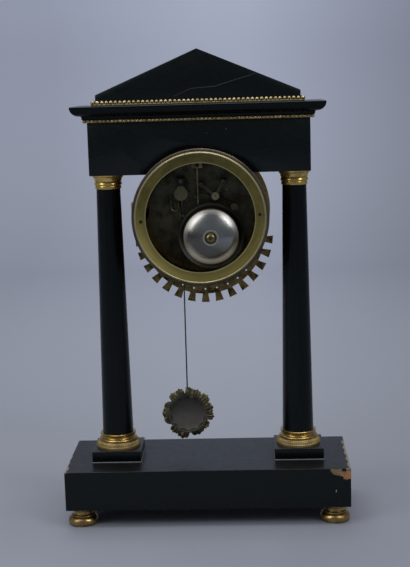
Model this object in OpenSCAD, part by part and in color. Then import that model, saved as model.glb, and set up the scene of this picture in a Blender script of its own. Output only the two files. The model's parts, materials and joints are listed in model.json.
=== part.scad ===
// Portico clock: black veneered case on two columns, with a drum movement, a striking bell and a pendulum.
// Millimetres. The dial faces -Y and the open back faces +Y. +Z is up.
// The origin is on the ground under the middle of the plinth.

/* [Plinth] */
// Width of the plinth
plinth_w = 270; // [250:1:320]
// Depth of the plinth
plinth_d = 104; // [104:1:140]
// Height of the plinth
plinth_h = 38; // [32:1:60]
// Thickness of the board on top of the plinth
board_t = 12; // [8:1:18]
// Room between a rod nut and the end of the hollow under the board
nut_room = 6.5; // [4:0.5:9]
// Thickness of the plinth's front and back
plinth_wall = 22; // [21:0.5:34]

/* [Feet] */
// Height of a foot
foot_h = 17; // [15:0.5:25]
// Largest radius of a foot
foot_r = 14.4; // [13:0.1:16]
// Distance of a foot's axis from the front or back of the plinth
foot_inset = 16; // [15:0.5:17]
// Radius of the round section of a foot's bun
bun_r = 5.4; // [4:0.05:5.5]
// Height of the widest place of a foot's bun
bun_z = 3.4; // [3:0.1:4.5]
// Radius of the bead above a foot's bun
foot_bead_r = 10.6; // [10.2:0.1:11]
// Radius of a foot's neck
foot_neck_r = 9; // [6:0.1:10]
// Radius of a foot's upper flange
foot_flange_r = 11; // [10.5:0.1:13]
// Height of a foot's upper flange
foot_flange_h = 2.5; // [1.5:0.1:3.5]
// Radius of the stud on top of a foot
stud_r = 3; // [2:0.1:4]
// Length of the stud on top of a foot
stud_len = 12; // [8:0.5:18]

/* [Columns] */
// Distance between the axes of the columns
column_spacing = 176; // [164:1:180]
// Width of a square pedestal
pedestal_w = 47; // [44:0.5:60]
// Height of a pedestal
pedestal_h = 11; // [6:0.5:20]
// Height of a column base
base_h = 14; // [13:0.5:20]
// Largest radius of a column base
base_r = 21.5; // [20.5:0.1:22]
// Height of the plain disc under the base's roll
base_disc_h = 2.4; // [1.5:0.1:3]
// Radius of the base's roll section
base_roll_r = 4.2; // [3.5:0.1:4.4]
// Radius of the base's ring section
base_ring_r = 1.3; // [0.8:0.1:1.6]
// Radius of the rim on top of the base
base_rim_r = 17.2; // [16:0.1:18]
// Height of the rim on top of the base
base_rim_h = 1.6; // [1:0.1:2.5]
// Radius of a shaft at its foot
shaft_r_low = 14.9; // [13:0.1:15.5]
// Radius of a shaft at its top
shaft_r_top = 11.35; // [10:0.05:11.8]
// Height of a shaft
shaft_h = 238; // [225:1:270]
// Height of a capital
capital_h = 13.6; // [12.5:0.1:18]
// Radius of a capital at its top
capital_r = 15.4; // [14.5:0.1:16.5]
// Radius of a capital's neck
capital_neck_r = 12.1; // [11.9:0.1:12.8]
// Radius of the rod inside a column
tie_rod_r = 2.5; // [2:0.1:3.5]
// Gap round the rod inside a column
tie_rod_gap = 0.4; // [0.2:0.1:0.8]
// Height of a rod nut
nut_h = 5; // [3:0.5:6]
// Radius of a rod nut over its corners
nut_r = 5.5; // [5:0.1:7]

/* [Entablature] */
// Width of the frieze
frieze_w = 205.5; // [196:0.5:230]
// Depth of the frieze
frieze_d = 47; // [40:0.5:56]
// Height of the frieze
frieze_h = 52; // [46:0.5:70]
// Height of the cornice
cornice_h = 12; // [10:0.5:16]
// Overhang of the cornice past the frieze
cornice_over = 14; // [12:0.5:18]
// Overhang of the cornice's lower fillet
fillet_over = 4.2; // [3.8:0.1:5]
// Height of the cornice's lower fillet
fillet_h = 2; // [1:0.1:3]
// Height of the plain lip along the cornice's top edge
lip_h = 0.8; // [0.4:0.1:1.5]
// Radius of the beads on the bead strips
bead_r = 1.6; // [1.2:0.05:1.8]
// Distance of the bead axis from the face behind it
bead_out = 2.2; // [1.8:0.1:2.4]
// Height of the flat strip under the upper beads
strip_h = 1.8; // [1.2:0.1:2.5]
// Width of the pediment
pediment_w = 188.4; // [170:0.5:196]
// Height of the pediment's ends
pediment_lip = 10.2; // [7:0.2:16]
// Rise of the pediment from its ends to its apex
pediment_rise = 39.7; // [25:0.5:60]

/* [Drum] */
// Distance of the drum axis below the frieze
drum_drop = 39.6; // [36:0.2:44]
// Wall of the drum
drum_wall = 1.2; // [0.8:0.1:1.6]
// Reach of the drum in front of the columns' plane
drum_front = 38; // [37:0.5:39]
// Reach of the drum behind the columns' plane
drum_back = 34; // [30:0.5:38]
// Radius of the opening in the back ring
opening_r = 50.4; // [46:0.1:54]
// Width of the back ring's face between its opening and its sleeve
ring_face_w = 8.6; // [7.5:0.1:10]
// Reach of the collar at the back beyond the drum
collar_lip = 2.1; // [1.7:0.1:4]
// Step of the bright rim of the back ring inside the drum's edge
rim_step = 0.7; // [0.2:0.1:1.1]
// Depth of the back ring behind the drum
ring_depth = 8; // [7:0.2:10]
// Turn of the strap screws from the horizontal
strap_turn = -2.2; // [-6:0.1:6]
// Thickness of a strap
strap_t = 3; // [2.4:0.1:3.2]
// Height of a strap
strap_w = 5; // [4:0.1:7]
// Radius of a strap screw
strap_screw_r = 0.84; // [0.6:0.02:0.96]
// Length of a strap screw in its strap
strap_screw_len = 8; // [5:0.5:12]
// Radius of a strap screw's head
strap_head_r = 1.5; // [1.3:0.1:1.8]
// Width of the slot for the pendulum rod
slot_w = 18; // [15:0.5:22]
// Depth of the slot for the pendulum rod
slot_d = 9; // [6:0.5:10]
// Radius of the screws that hang the drum in the frieze
drum_screw_r = 1.5; // [1:0.1:2]
// Length of those screws in the frieze
drum_screw_len = 14; // [8:0.5:22]
// Distance of those screws from the back of the frieze
drum_screw_inset = 9; // [7:0.5:14]
// Radius of those screws' heads
drum_head_r = 3; // [2.5:0.1:3.2]
// Thickness of those screws' heads
drum_head_t = 1.6; // [1:0.1:2]

/* [Rayed collar] */
// Distance of the centre of the rays below the drum axis
ray_drop = 24.4; // [20:0.2:28]
// Inset of the rays' roots from the drum's radius
ray_inset = 2.1; // [0:0.1:3.5]
// Length of a ray from root to tip
ray_len = 8.4; // [6:0.2:11]
// Inset of the circle of the piercings from the rays' roots
pierce_inset = 4.7; // [3.5:0.1:6]
// Radius of a piercing
pierce_r = 0.9; // [0.5:0.1:1.3]
// Angle from one ray to the next
ray_pitch = 12; // [9:1:15]
// Width of a ray at its root
ray_root_w = 5.4; // [4:0.1:7]
// Width of a ray at its tip
ray_tip_w = 7.9; // [5:0.1:10]
// Thickness of the rayed collar
ray_t = 1.2; // [0.8:0.1:2]

/* [Dial and bezel] */
// Step of the dial's edge inside the drum's radius
dial_step = 6.5; // [6:0.1:7.5]
// Thickness of the dial
dial_t = 1.4; // [1:0.1:1.8]
// Radius of the winding holes
winding_r = 3.4; // [3:0.1:4]
// Reach of the fixed front ring beyond the drum
seat_lip = 3; // [2:0.1:3.5]
// Lap of the fixed front ring behind the dial
seat_lap = 11; // [9:0.5:13]
// Reach of the hinged bezel beyond the fixed front ring
bezel_lip = 1; // [0:0.1:1.1]
// Lap of the hinged bezel over the dial
bezel_lap = 2.5; // [2:0.1:5]
// Depth of the hinged bezel
bezel_depth = 8.7; // [8:0.1:9.5]
// Thickness of the bezel glass
glass_t = 1.8; // [1.2:0.1:2]
// Radius of a hinge knuckle
knuckle_r = 2.6; // [2:0.1:2.8]
// Distance of the hinge axis from the edge of the bezel
hinge_reach = 2.9; // [2.7:0.1:4.5]
// Radius of the hinge pin
hinge_pin_r = 1; // [0.7:0.1:1.3]
// Length of the hinge
hinge_len = 15; // [12:0.5:20]
// Length of the bezel's own knuckle
knuckle_len = 4.8; // [3:0.2:7]
// Length of the minute hand
minute_len = 46; // [36:0.5:48]
// Length of the hour hand
hour_len = 31; // [24:0.5:36]
// Thickness of a hand
hand_t = 0.6; // [0.4:0.1:0.8]
// Minutes past ten that the hands show
shown_minutes = 9; // [0:1:59]

/* [Movement] */
// Room between the movement plates and the opening that they pass
plate_room = 0.4; // [0.2:0.1:1.4]
// Thickness of a movement plate
plate_t = 2.4; // [2:0.1:3]
// Gap between the movement plates
plate_gap = 26.6; // [26:0.1:28]
// Reach of the front plate in front of the columns' plane
plate_front = 30; // [29.5:0.1:31]
// Inset of the circle of the pillars from the plates' edge
pillar_inset = 7; // [5:0.5:8]
// Radius of a pillar
pillar_r = 3; // [2.5:0.1:3.4]
// Inset of the circle of the dial feet from the plates' edge
dial_foot_inset = 3; // [2:0.1:3.5]
// Radius of a dial foot
dial_foot_r = 2; // [1.5:0.1:2.4]
// Radius of an arbor
arbor_r = 0.7; // [0.65:0.05:0.75]
// Radius of a pivot
pivot_r = 0.5; // [0.4:0.05:0.6]
// Radius of a barrel arbor
barrel_arbor_r = 1.8; // [1.5:0.1:2]
// Radius of the body of a barrel
barrel_body_r = 15; // [12:0.1:15.2]
// Height of the pallet axis above the drum axis
pallet_z = 20; // [19.5:0.1:20.5]
// Distance of the pallet axis to the side of the drum axis
pallet_x = 18.5; // [18.2:0.1:18.8]
// Distance between the pallet axis and the escape wheel's axis
pallet_drop = 11.5; // [11.4:0.1:11.8]
// Radius of the escape wheel over its teeth
escape_r = 9; // [7:0.1:9.1]
// Gap between the escape wheel and the anchor
anchor_gap = 0.7; // [0.6:0.1:1]

/* [Strike] */
// Distance of the bell axis to the side of the drum axis
bell_x = -9; // [-11:0.1:-7]
// Distance of the bell axis below the drum axis
bell_drop = 19.2; // [18:0.1:21]
// Radius of the bell's rim
bell_r = 30.8; // [28:0.1:31]
// Radius of the bell's dome
dome_r = 26; // [23:0.1:27]
// Tilt of the bell's skin at the edge of its dome
dome_tilt = 33; // [30:1:40]
// Height of the bell
bell_h = 17; // [16:0.1:18.5]
// Wall of the bell
bell_wall = 1.4; // [1:0.1:1.8]
// Distance of the bell's rim behind the back plate
bell_gap = 15; // [12:0.1:16]
// Distance of the hammer arbor to the side of the drum axis
hammer_x = -13.7; // [-15:0.1:-12.5]
// Height of the hammer arbor above the drum axis
hammer_z = 17.5; // [17:0.1:19]
// Radius of the hammer head
hammer_head_r = 3.4; // [2.5:0.1:4]
// Gap between the hammer head and the bell at rest
hammer_gap = 0.8; // [0.5:0.1:1.5]

/* [Pendulum] */
// Length from the pendulum's pivot to the middle of the bob
pendulum_len = 213; // [195:1:222]
// Radius of the pendulum rod
rod_r = 0.65; // [0.5:0.05:0.9]
// Distance of the pendulum rod behind the back plate
rod_gap = 6.85; // [6.6:0.05:7]
// Radius of the dished disc of the bob
bob_r = 18.5; // [15:0.1:20]
// Depth of the bob's dish
bob_depth = 5; // [3:0.1:6]
// Radius of a leaf on the bob
leaf_r = 4.6; // [3.5:0.1:5.5]
// Radius of the circle of the leaves
leaf_ring_r = 20; // [18.5:0.1:22]

/* [Fits] */
// Gap between pieces that are fixed together
fit = 0.1; // [0.05:0.01:0.15]
// Radial gap of a turning fit
run = 0.05; // [0.03:0.01:0.08]
// Gap between faces that move past each other
slip = 0.3; // [0.2:0.05:0.4]

/* [Hidden] */
$fn = 48;

// Heights of the case from the ground up
plinth_z = foot_h;
pedestal_z = plinth_z + plinth_h;
base_z = pedestal_z + pedestal_h;
shaft_z = base_z + base_h;
capital_z = shaft_z + shaft_h;
frieze_z = capital_z + capital_h;
cornice_z = frieze_z + frieze_h;
pediment_z = cornice_z + cornice_h;
drum_z = frieze_z - drum_drop;

// Case sizes that follow
foot_x = plinth_w / 2 - foot_r;
foot_y = plinth_d / 2 - foot_inset;
column_x = column_spacing / 2;
hollow_w = column_spacing + 2 * (nut_r + nut_room);
hollow_d = plinth_d - 2 * plinth_wall;
hole_spare = 1;
rod_hole_r = tie_rod_r + tie_rod_gap;
nut_pocket = nut_h + 6.6;
foot_ring_r = 0.7;
gilt = "goldenrod";
ebony = "#1a1c1e";
brass = "#8c7f45";
steel = "#8f9398";

// Radii of the drum and of the pieces that fit it
sleeve_wall = 1.2;
sleeve_r = opening_r + ring_face_w + sleeve_wall;
drum_in_r = sleeve_r + fit;
drum_r = drum_in_r + drum_wall;
collar_r = drum_r + collar_lip;
rim_r = drum_r - rim_step;
dial_r = drum_r - dial_step;
seat_r = drum_r + seat_lip;
seat_in_r = dial_r - seat_lap;
bezel_r = seat_r + bezel_lip;
bezel_in_r = dial_r - bezel_lap;
hinge_x = bezel_r + hinge_reach;
ray_root_r = drum_r - ray_inset;
ray_tip_r = ray_root_r + ray_len;
pierce_ring_r = ray_root_r - pierce_inset;
plate_r = opening_r - plate_room;
pillar_ring_r = plate_r - pillar_inset;
dial_feet_ring_r = plate_r - dial_foot_inset;
strap_r = opening_r + ring_face_w / 2;
glass_r = dial_r + 0.4;

// Depths along Y of the drum, the plates and the front
sleeve_len = 6;
collar_t = 4;
web_y = drum_back + collar_t + 0.4;
strap_seat_y = web_y + 0.9;
seat_t = 3;
seat_web_t = 1;
seat_y = -drum_front - seat_t;
dial_y = -drum_front - seat_web_t;
bezel_y = seat_y - slip;
glass_lip = 2.4;
glass_y = bezel_y - bezel_depth + glass_lip;
hinge_y = seat_y - slip / 2;
plate_a = -plate_front;
plate_b = plate_a + plate_t;
plate_c = plate_b + plate_gap;
plate_d = plate_c + plate_t;
end_shake = 0.3;

// Numbers of teeth and sizes of the wheels
barrel_teeth = 72;
barrel_pinion = 12;
barrel_module = 0.44;
center_teeth = 72;
center_module = 0.43;
third_teeth = 66;
third_module = 0.35;
train_pinion = 6;
escape_teeth = 30;
strike_teeth = 60;
strike_module = 0.40;
cannon_teeth = 12;
minute_teeth = 36;
minute_module = 0.5;
minute_pinion = 10;
hour_teeth = 40;
hour_module = minute_module * (cannon_teeth + minute_teeth) / (minute_pinion + hour_teeth);
tooth_add = 0.8;
tooth_ded = 1.2;
wheel_t = 1.2;
pinion_t = 3;

// Places of the axes, seen from the dial, from the drum axis
barrel_turn = -27;
third_turn = 70;
strike_turn = 107;
fly_turn = 100;
center_pos = [0, 0];
barrel_reach = mesh_distance(barrel_teeth, barrel_pinion, barrel_module);
barrel_pos = polar(barrel_reach, barrel_turn);
strike_barrel_pos = [-barrel_pos[0], barrel_pos[1]];
third_pos = polar(mesh_distance(center_teeth, train_pinion, center_module), third_turn);
pallet_pos = [pallet_x, pallet_z];
third_reach = mesh_distance(third_teeth, train_pinion, third_module);
escape_pos = circles_meet(third_pos, third_reach, pallet_pos, pallet_drop);
strike_pos = strike_barrel_pos + polar(barrel_reach, strike_turn);
fly_pos = strike_pos + polar(mesh_distance(strike_teeth, train_pinion, strike_module), fly_turn);
minute_pos = [0, mesh_distance(minute_teeth, cannon_teeth, minute_module)];
bell_pos = [bell_x, -bell_drop];
hammer_pos = [hammer_x, hammer_z];
hammer_turn = 130;
hammer_head_pos = bell_pos + polar(bell_r + hammer_gap + hammer_head_r, hammer_turn);
cock_feet = [hammer_pos + [13, 11.2], hammer_pos + [-7.7, 13.5]];

// Layers of the wheels along Y
barrel_y = plate_b + 1;
barrel_len = 10.2;
barrel_rim_y = barrel_y + barrel_len;
center_y = barrel_rim_y + pinion_t + 2;
third_y = center_y + wheel_t + 2.6;
escape_y = third_y + wheel_t + 2;
minute_y = plate_a - 1.4 - wheel_t;
hour_y = minute_y - 3.2;
cannon_r = 1.6;
cannon_in_r = 0.95;
center_front_r = cannon_in_r - run;
hour_pipe_in_r = cannon_r + run;
hour_pipe_r = 2.4;
hour_hand_y = dial_y - dial_t - 1.9;
minute_hand_y = hour_hand_y - 1.3;
nut_front_y = minute_hand_y - 1.3;
winding_front_y = dial_y - 0.8;
stud_axle_r = 0.8;

// Depths of what stands behind the back plate
rod_y = plate_d + rod_gap;
cock_y = plate_d + 8.8;
cock_t = 2;
cock_disc_r = 6.3;
cock_tube_r = 2;
cock_tube_len = 3.8;
cock_bore_r = 0.75;
cock_foot_w = 8;
cock_foot_low = 9;
cock_foot_high = 15;
eye_r = 3.6;
eye_t = 2.1;
crutch_y = plate_d + 1.6;
crutch_t = 1.4;
crutch_len = 21;
prong_r = 0.5;
bell_y = plate_d + bell_gap;
bell_top_y = bell_y + bell_h;
shoulder_r = bell_wall + 0.3;
dome_arc = (dome_r - shoulder_r) / sin(dome_tilt) + shoulder_r;
shoulder_y = bell_top_y - (dome_arc - shoulder_r) * (1 - cos(dome_tilt)) - shoulder_r;
bell_stand_r = 2.2;
bell_stud_r = 1.5;
bell_nut_r = 5;
bell_washer_r = 7.4;
hammer_cock_gap = 10.8;
hammer_cock_y = plate_d + hammer_cock_gap;
hammer_cock_t = 1.8;
hammer_cock_r = 4;
hammer_arm_y = plate_d + 5.6;
hammer_arm_r = 0.9;
hammer_arbor_r = 1;
hammer_pivot_r = 0.6;
hook_y = plate_d + 4.2;
hook_r = 0.6;
hook_side = 10.2;
hook_x = pallet_x + hook_side;
hook_bend_r = 3.5;
hook_drop = 12.8;
hook_bend_z = pallet_z - hook_drop;
spring_x = 3;
spring_w = 1.2;
spring_y = plate_d + 4;
spring_low = 9;
spring_block_z = 43.5;
spring_block_h = 5.5;
spring_block_w = 10;
spring_screw_pos = [spring_x, spring_block_z + spring_block_h / 2];
cock_screw_pos = [pallet_x, pallet_z + (cock_foot_low + cock_foot_high) / 2];
screw_r = 1.2;
screw_head_r = 2;
screw_head_t = 1;

// Place at a distance and an angle
function polar(distance, angle) = [distance * cos(angle), distance * sin(angle)];
// Distance of the axes of two wheels in mesh
function mesh_distance(teeth_a, teeth_b, size) = (teeth_a + teeth_b) * size / 2;
// Angle of the line from one place to another
function heading(from, to) = atan2(to[1] - from[1], to[0] - from[0]);
// Lower of the two places at given distances from two others
function circles_meet(p, p_r, q, q_r) =
    let (
        d = norm(q - p),
        u = (q - p) / d,
        a = (p_r * p_r - q_r * q_r + d * d) / (2 * d),
        h = sqrt(p_r * p_r - a * a)
    )
    p + a * u + h * [u[1], -u[0]];
// Turn of a wheel that points a tooth at its mate
function tooth_to(own, mate) = heading(own, mate);
// Turn of a wheel that points a gap at its mate
function gap_to(own, mate, teeth) = heading(own, mate) + 180 / teeth;

// Flat shape in X and Z drawn out between two depths
module along_y(y_from, y_to) {
    translate([0, y_to, 0])
        rotate([90, 0, 0])
            linear_extrude(height = y_to - y_from)
                children();
}

// Flat shape in Y and Z drawn out over a length centred on X
module along_x(length) {
    translate([-length / 2, 0, 0])
        rotate([90, 0, 90])
            linear_extrude(height = length)
                children();
}

// Round bar along Y at a place in X and Z
module bar_y(place, radius, y_from, y_to) {
    translate([place[0], y_to, place[1]])
        rotate([90, 0, 0])
            cylinder(r = radius, h = y_to - y_from);
}

// Shape of radius and depth turned about the Y axis
module turned_y() {
    rotate([-90, 0, 0])
        rotate_extrude($fn = 96)
            children();
}

// Moves a piece from the drum axis to its height in the case
module at_drum() {
    translate([0, 0, drum_z])
        children();
}

// Round bar from one place to another in one depth
module strut(from, to, radius, y) {
    length = norm(to - from);
    translate([from[0], y, from[1]])
        rotate([0, 90 - heading(from, to), 0])
            cylinder(r = radius, h = length);
}

// Flat arm with round ends from one place to another
module arm_2d(from, to, width) {
    translate(from)
        rotate(heading(from, to))
            translate([0, -width / 2])
                square([norm(to - from), width]);
    translate(from)
        circle(d = width);
    translate(to)
        circle(d = width);
}

// Outline of a toothed wheel
module gear_2d(teeth, size, turn) {
    pitch = 360 / teeth;
    tip = teeth * size / 2 + tooth_add * size;
    root = teeth * size / 2 - tooth_ded * size;
    root_share = 0.27;
    tip_share = 0.10;
    polygon([
        for (i = [0 : teeth - 1])
            for (point = [[root, -root_share], [tip, -tip_share], [tip, tip_share], [root, root_share]])
                polar(point[0], turn + (i + point[1]) * pitch)
    ]);
}

// Toothed wheel at a place between two depths
module gear(place, teeth, size, turn, y, thickness) {
    translate([place[0], 0, place[1]])
        along_y(y, y + thickness)
            gear_2d(teeth, size, turn);
}

// Arbor between the plates, with a pivot in each
module arbor(place, radius) {
    bar_y(place, radius, plate_b + end_shake, plate_c - end_shake);
    bar_y(place, pivot_r, plate_a + end_shake, plate_d - end_shake);
}

// Bores of the pivots that run in both plates
module pivot_bores() {
    for (place = [third_pos, escape_pos, strike_pos, fly_pos])
        bar_y(place, pivot_r + run, plate_a - 1, plate_d + 1);
    for (place = [barrel_pos, strike_barrel_pos])
        bar_y(place, barrel_arbor_r + run, plate_a - 1, plate_d + 1);
}

// Places of the pillars on the plates
module pillar_places() {
    for (turn = [45 : 90 : 315])
        translate([pillar_ring_r * cos(turn), 0, pillar_ring_r * sin(turn)])
            children();
}

// Frame of half-round beading round a rectangle
module bead_frame(width, depth, low, height, bead_z) {
    out_w = width + 2 * bead_out;
    out_d = depth + 2 * bead_out;
    difference() {
        union() {
            translate([-out_w / 2, -out_d / 2, low])
                cube([out_w, out_d, height]);
            for (side = [-1, 1]) {
                translate([-out_w / 2, side * out_d / 2, bead_z])
                    rotate([0, 90, 0])
                        cylinder(r = bead_r, h = out_w);
                translate([side * out_w / 2, out_d / 2, bead_z])
                    rotate([90, 0, 0])
                        cylinder(r = bead_r, h = out_d);
                for (end = [-1, 1])
                    translate([end * out_w / 2, side * out_d / 2, bead_z])
                        sphere(r = bead_r);
            }
        }
        translate([-width / 2, -depth / 2, low - bead_r])
            cube([width, depth, height + 4 * bead_r]);
    }
}

// Section of the cornice from side to side, for a half width of the frieze
module cornice_2d(half) {
    step = 1.2;
    round_low = fillet_h + step;
    round_in = fillet_over + step;
    round_w = cornice_over - round_in;
    round_h = cornice_h - lip_h - round_low;
    edge = concat(
        [[fillet_over, 0], [fillet_over, fillet_h], [fillet_over + 0.4, fillet_h + 0.8]],
        [for (turn = [0 : 10 : 90]) [round_in + round_w * sin(turn), round_low + round_h * (1 - cos(turn))]],
        [[cornice_over, cornice_h]]
    );
    polygon(concat(
        [for (point = edge) [half + point[0], point[1]]],
        [for (i = [len(edge) - 1 : -1 : 0]) [-half - edge[i][0], edge[i][1]]]
    ));
}

module plinth() {
    color(ebony)
        difference() {
            translate([-plinth_w / 2, -plinth_d / 2, plinth_z])
                cube([plinth_w, plinth_d, plinth_h]);
            translate([-hollow_w / 2, -hollow_d / 2, plinth_z - 1])
                cube([hollow_w, hollow_d, plinth_h - board_t + 1]);
            for (x = [-foot_x, foot_x])
                for (y = [-foot_y, foot_y])
                    translate([x, y, plinth_z - 1])
                        cylinder(r = stud_r + fit, h = stud_len + 1 + hole_spare);
            for (x = [-column_x, column_x])
                translate([x, 0, plinth_z])
                    cylinder(r = rod_hole_r, h = plinth_h + 1);
        }
}

// Turned foot with its stud
module foot(x_side, y_side) {
    bun_h = bun_z + bun_r;
    bead_z = bun_h + foot_ring_r / 2;
    color(gilt)
        translate([x_side * foot_x, y_side * foot_y, 0]) {
            rotate_extrude() {
                square([foot_r - bun_r, bun_h]);
                translate([foot_r - bun_r, 0])
                    intersection() {
                        translate([0, bun_z])
                            circle(r = bun_r);
                        square([bun_r, bun_h]);
                    }
                square([foot_neck_r, foot_h]);
                square([foot_bead_r, bead_z + foot_ring_r]);
                translate([foot_bead_r, bead_z])
                    circle(r = foot_ring_r);
                translate([0, foot_h - foot_flange_h])
                    square([foot_flange_r, foot_flange_h]);
            }
            translate([0, 0, foot_h])
                cylinder(r = stud_r, h = stud_len);
        }
}

module foot_front_left() foot(-1, -1);
module foot_front_right() foot(1, -1);
module foot_back_left() foot(-1, 1);
module foot_back_right() foot(1, 1);

// Square block under a column
module pedestal(side) {
    color(ebony)
        translate([side * column_x, 0, pedestal_z])
            difference() {
                translate([-pedestal_w / 2, -pedestal_w / 2, 0])
                    cube([pedestal_w, pedestal_w, pedestal_h]);
                translate([0, 0, -1])
                    cylinder(r = rod_hole_r, h = pedestal_h + 2);
            }
}

module pedestal_left() pedestal(-1);
module pedestal_right() pedestal(1);

// Turned base of a column
module column_base(side) {
    lip = 0.2;
    roll_x = base_r - lip - base_roll_r;
    roll_top = base_disc_h + base_roll_r;
    ring_z = roll_top + base_ring_r - lip;
    neck_r = base_rim_r - 1.4;
    color(gilt)
        translate([side * column_x, 0, base_z])
            rotate_extrude() {
                translate([rod_hole_r, 0])
                    square([base_r - rod_hole_r, base_disc_h]);
                translate([rod_hole_r, 0])
                    square([roll_x - rod_hole_r, roll_top]);
                translate([roll_x, base_disc_h])
                    intersection() {
                        circle(r = base_roll_r);
                        square([base_roll_r, base_roll_r]);
                    }
                translate([rod_hole_r, 0])
                    square([neck_r - rod_hole_r, base_h]);
                translate([rod_hole_r, 0])
                    square([base_rim_r - rod_hole_r, ring_z]);
                translate([base_rim_r, ring_z])
                    circle(r = base_ring_r);
                translate([rod_hole_r, base_h - base_rim_h])
                    square([base_rim_r - rod_hole_r, base_rim_h]);
                polygon([
                    [neck_r - 1, base_h - base_rim_h - 1.6], [neck_r, base_h - base_rim_h - 1.6],
                    [base_rim_r, base_h - base_rim_h], [neck_r - 1, base_h - base_rim_h]
                ]);
            }
}

module column_base_left() column_base(-1);
module column_base_right() column_base(1);

// Tapering shaft of a column
module column_shaft(side) {
    color(ebony)
        translate([side * column_x, 0, shaft_z])
            difference() {
                cylinder(r1 = shaft_r_low, r2 = shaft_r_top, h = shaft_h, $fn = 96);
                translate([0, 0, -1])
                    cylinder(r = rod_hole_r, h = shaft_h + 2);
            }
}

module column_shaft_left() column_shaft(-1);
module column_shaft_right() column_shaft(1);

// Turned capital of a column
module capital(side) {
    torus_r = 1.7;
    torus_z = 5.3;
    collar_z = 7.2;
    collar_h = 2;
    flare_z = capital_h - 3.4;
    flare_h = 2;
    color(gilt)
        translate([side * column_x, 0, capital_z])
            rotate_extrude() {
                translate([rod_hole_r, 0])
                    square([capital_neck_r - rod_hole_r, capital_h]);
                translate([capital_neck_r - 0.8, torus_z])
                    circle(r = torus_r);
                translate([capital_neck_r - 0.6, collar_z])
                    square([1.4, collar_h]);
                polygon([
                    [capital_neck_r - 1, flare_z], [capital_neck_r, flare_z],
                    [capital_r, flare_z + flare_h], [capital_r, capital_h], [capital_neck_r - 1, capital_h]
                ]);
            }
}

module capital_left() capital(-1);
module capital_right() capital(1);

module tie_rods() {
    color(steel)
        for (x = [-column_x, column_x])
            translate([x, 0, pedestal_z - board_t - nut_h - 2])
                cylinder(r = tie_rod_r, h = cornice_z - nut_pocket - pedestal_z + board_t + 2 * nut_h + 4);
}

// Hexagon nut on a tie rod
module nut(x, z) {
    translate([x, 0, z])
        difference() {
            cylinder(r = nut_r, h = nut_h, $fn = 6);
            translate([0, 0, -1])
                cylinder(r = tie_rod_r + fit, h = nut_h + 2);
        }
}

module tie_rod_nuts() {
    color(steel)
        for (x = [-column_x, column_x]) {
            nut(x, pedestal_z - board_t - nut_h);
            nut(x, cornice_z - nut_pocket);
        }
}

// Screws that hang the drum in the frieze, or their holes
module drum_screw(radius, head, from, to) {
    for (turn = [-10, 10])
        rotate([0, turn, 0])
            translate([0, frieze_d / 2 - drum_screw_inset, from]) {
                cylinder(r = radius, h = to - from);
                if (head > 0)
                    cylinder(r = head, h = drum_in_r - fit - from);
            }
}

module frieze() {
    color(ebony)
        difference() {
            translate([-frieze_w / 2, -frieze_d / 2, frieze_z])
                cube([frieze_w, frieze_d, frieze_h]);
            at_drum()
                bar_y([0, 0], drum_r + fit, -frieze_d, frieze_d);
            for (x = [-column_x, column_x]) {
                translate([x, 0, frieze_z - 1])
                    cylinder(r = rod_hole_r, h = frieze_h);
                translate([x, 0, cornice_z - nut_pocket])
                    cylinder(r = nut_r + 1, h = nut_pocket + 1);
            }
            at_drum()
                drum_screw(drum_screw_r + fit, 0, drum_r - 2, drum_r + drum_screw_len + hole_spare);
        }
}

module lower_bead_strip() {
    height = 2 * bead_r - 0.5;
    color(gilt)
        bead_frame(frieze_w, frieze_d, cornice_z - height, height, cornice_z - bead_r - fit);
}

module cornice() {
    color(ebony)
        translate([0, 0, cornice_z])
            intersection() {
                along_y(-frieze_d, frieze_d)
                    cornice_2d(frieze_w / 2);
                along_x(2 * frieze_w)
                    cornice_2d(frieze_d / 2);
            }
}

module upper_bead_strip() {
    color(gilt)
        bead_frame(pediment_w, frieze_d, pediment_z, strip_h, pediment_z + strip_h + bead_r / 2);
}

module pediment() {
    color(ebony)
        translate([0, 0, pediment_z])
            along_y(-frieze_d / 2, frieze_d / 2)
                polygon([
                    [-pediment_w / 2, 0], [pediment_w / 2, 0], [pediment_w / 2, pediment_lip],
                    [0, pediment_lip + pediment_rise], [-pediment_w / 2, pediment_lip]
                ]);
}

module drum() {
    color(brass)
        at_drum()
            difference() {
                bar_y([0, 0], drum_r, -drum_front, drum_back);
                bar_y([0, 0], drum_in_r, -drum_front - 1, drum_back + 1);
                translate([pallet_x - slot_w / 2, rod_y - slot_d / 2, -drum_r - 1])
                    cube([slot_w, slot_d, drum_r]);
                drum_screw(drum_screw_r + fit, 0, drum_in_r - 2, drum_r + 2);
            }
}

module drum_screws() {
    color(steel)
        at_drum()
            drum_screw(drum_screw_r, drum_head_r, drum_in_r - fit - drum_head_t, drum_r + drum_screw_len);
}

// Places of the two strap screws
module strap_places() {
    for (turn = [strap_turn, 180 + strap_turn])
        translate([strap_r * cos(turn), 0, strap_r * sin(turn)])
            children();
}

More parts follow.
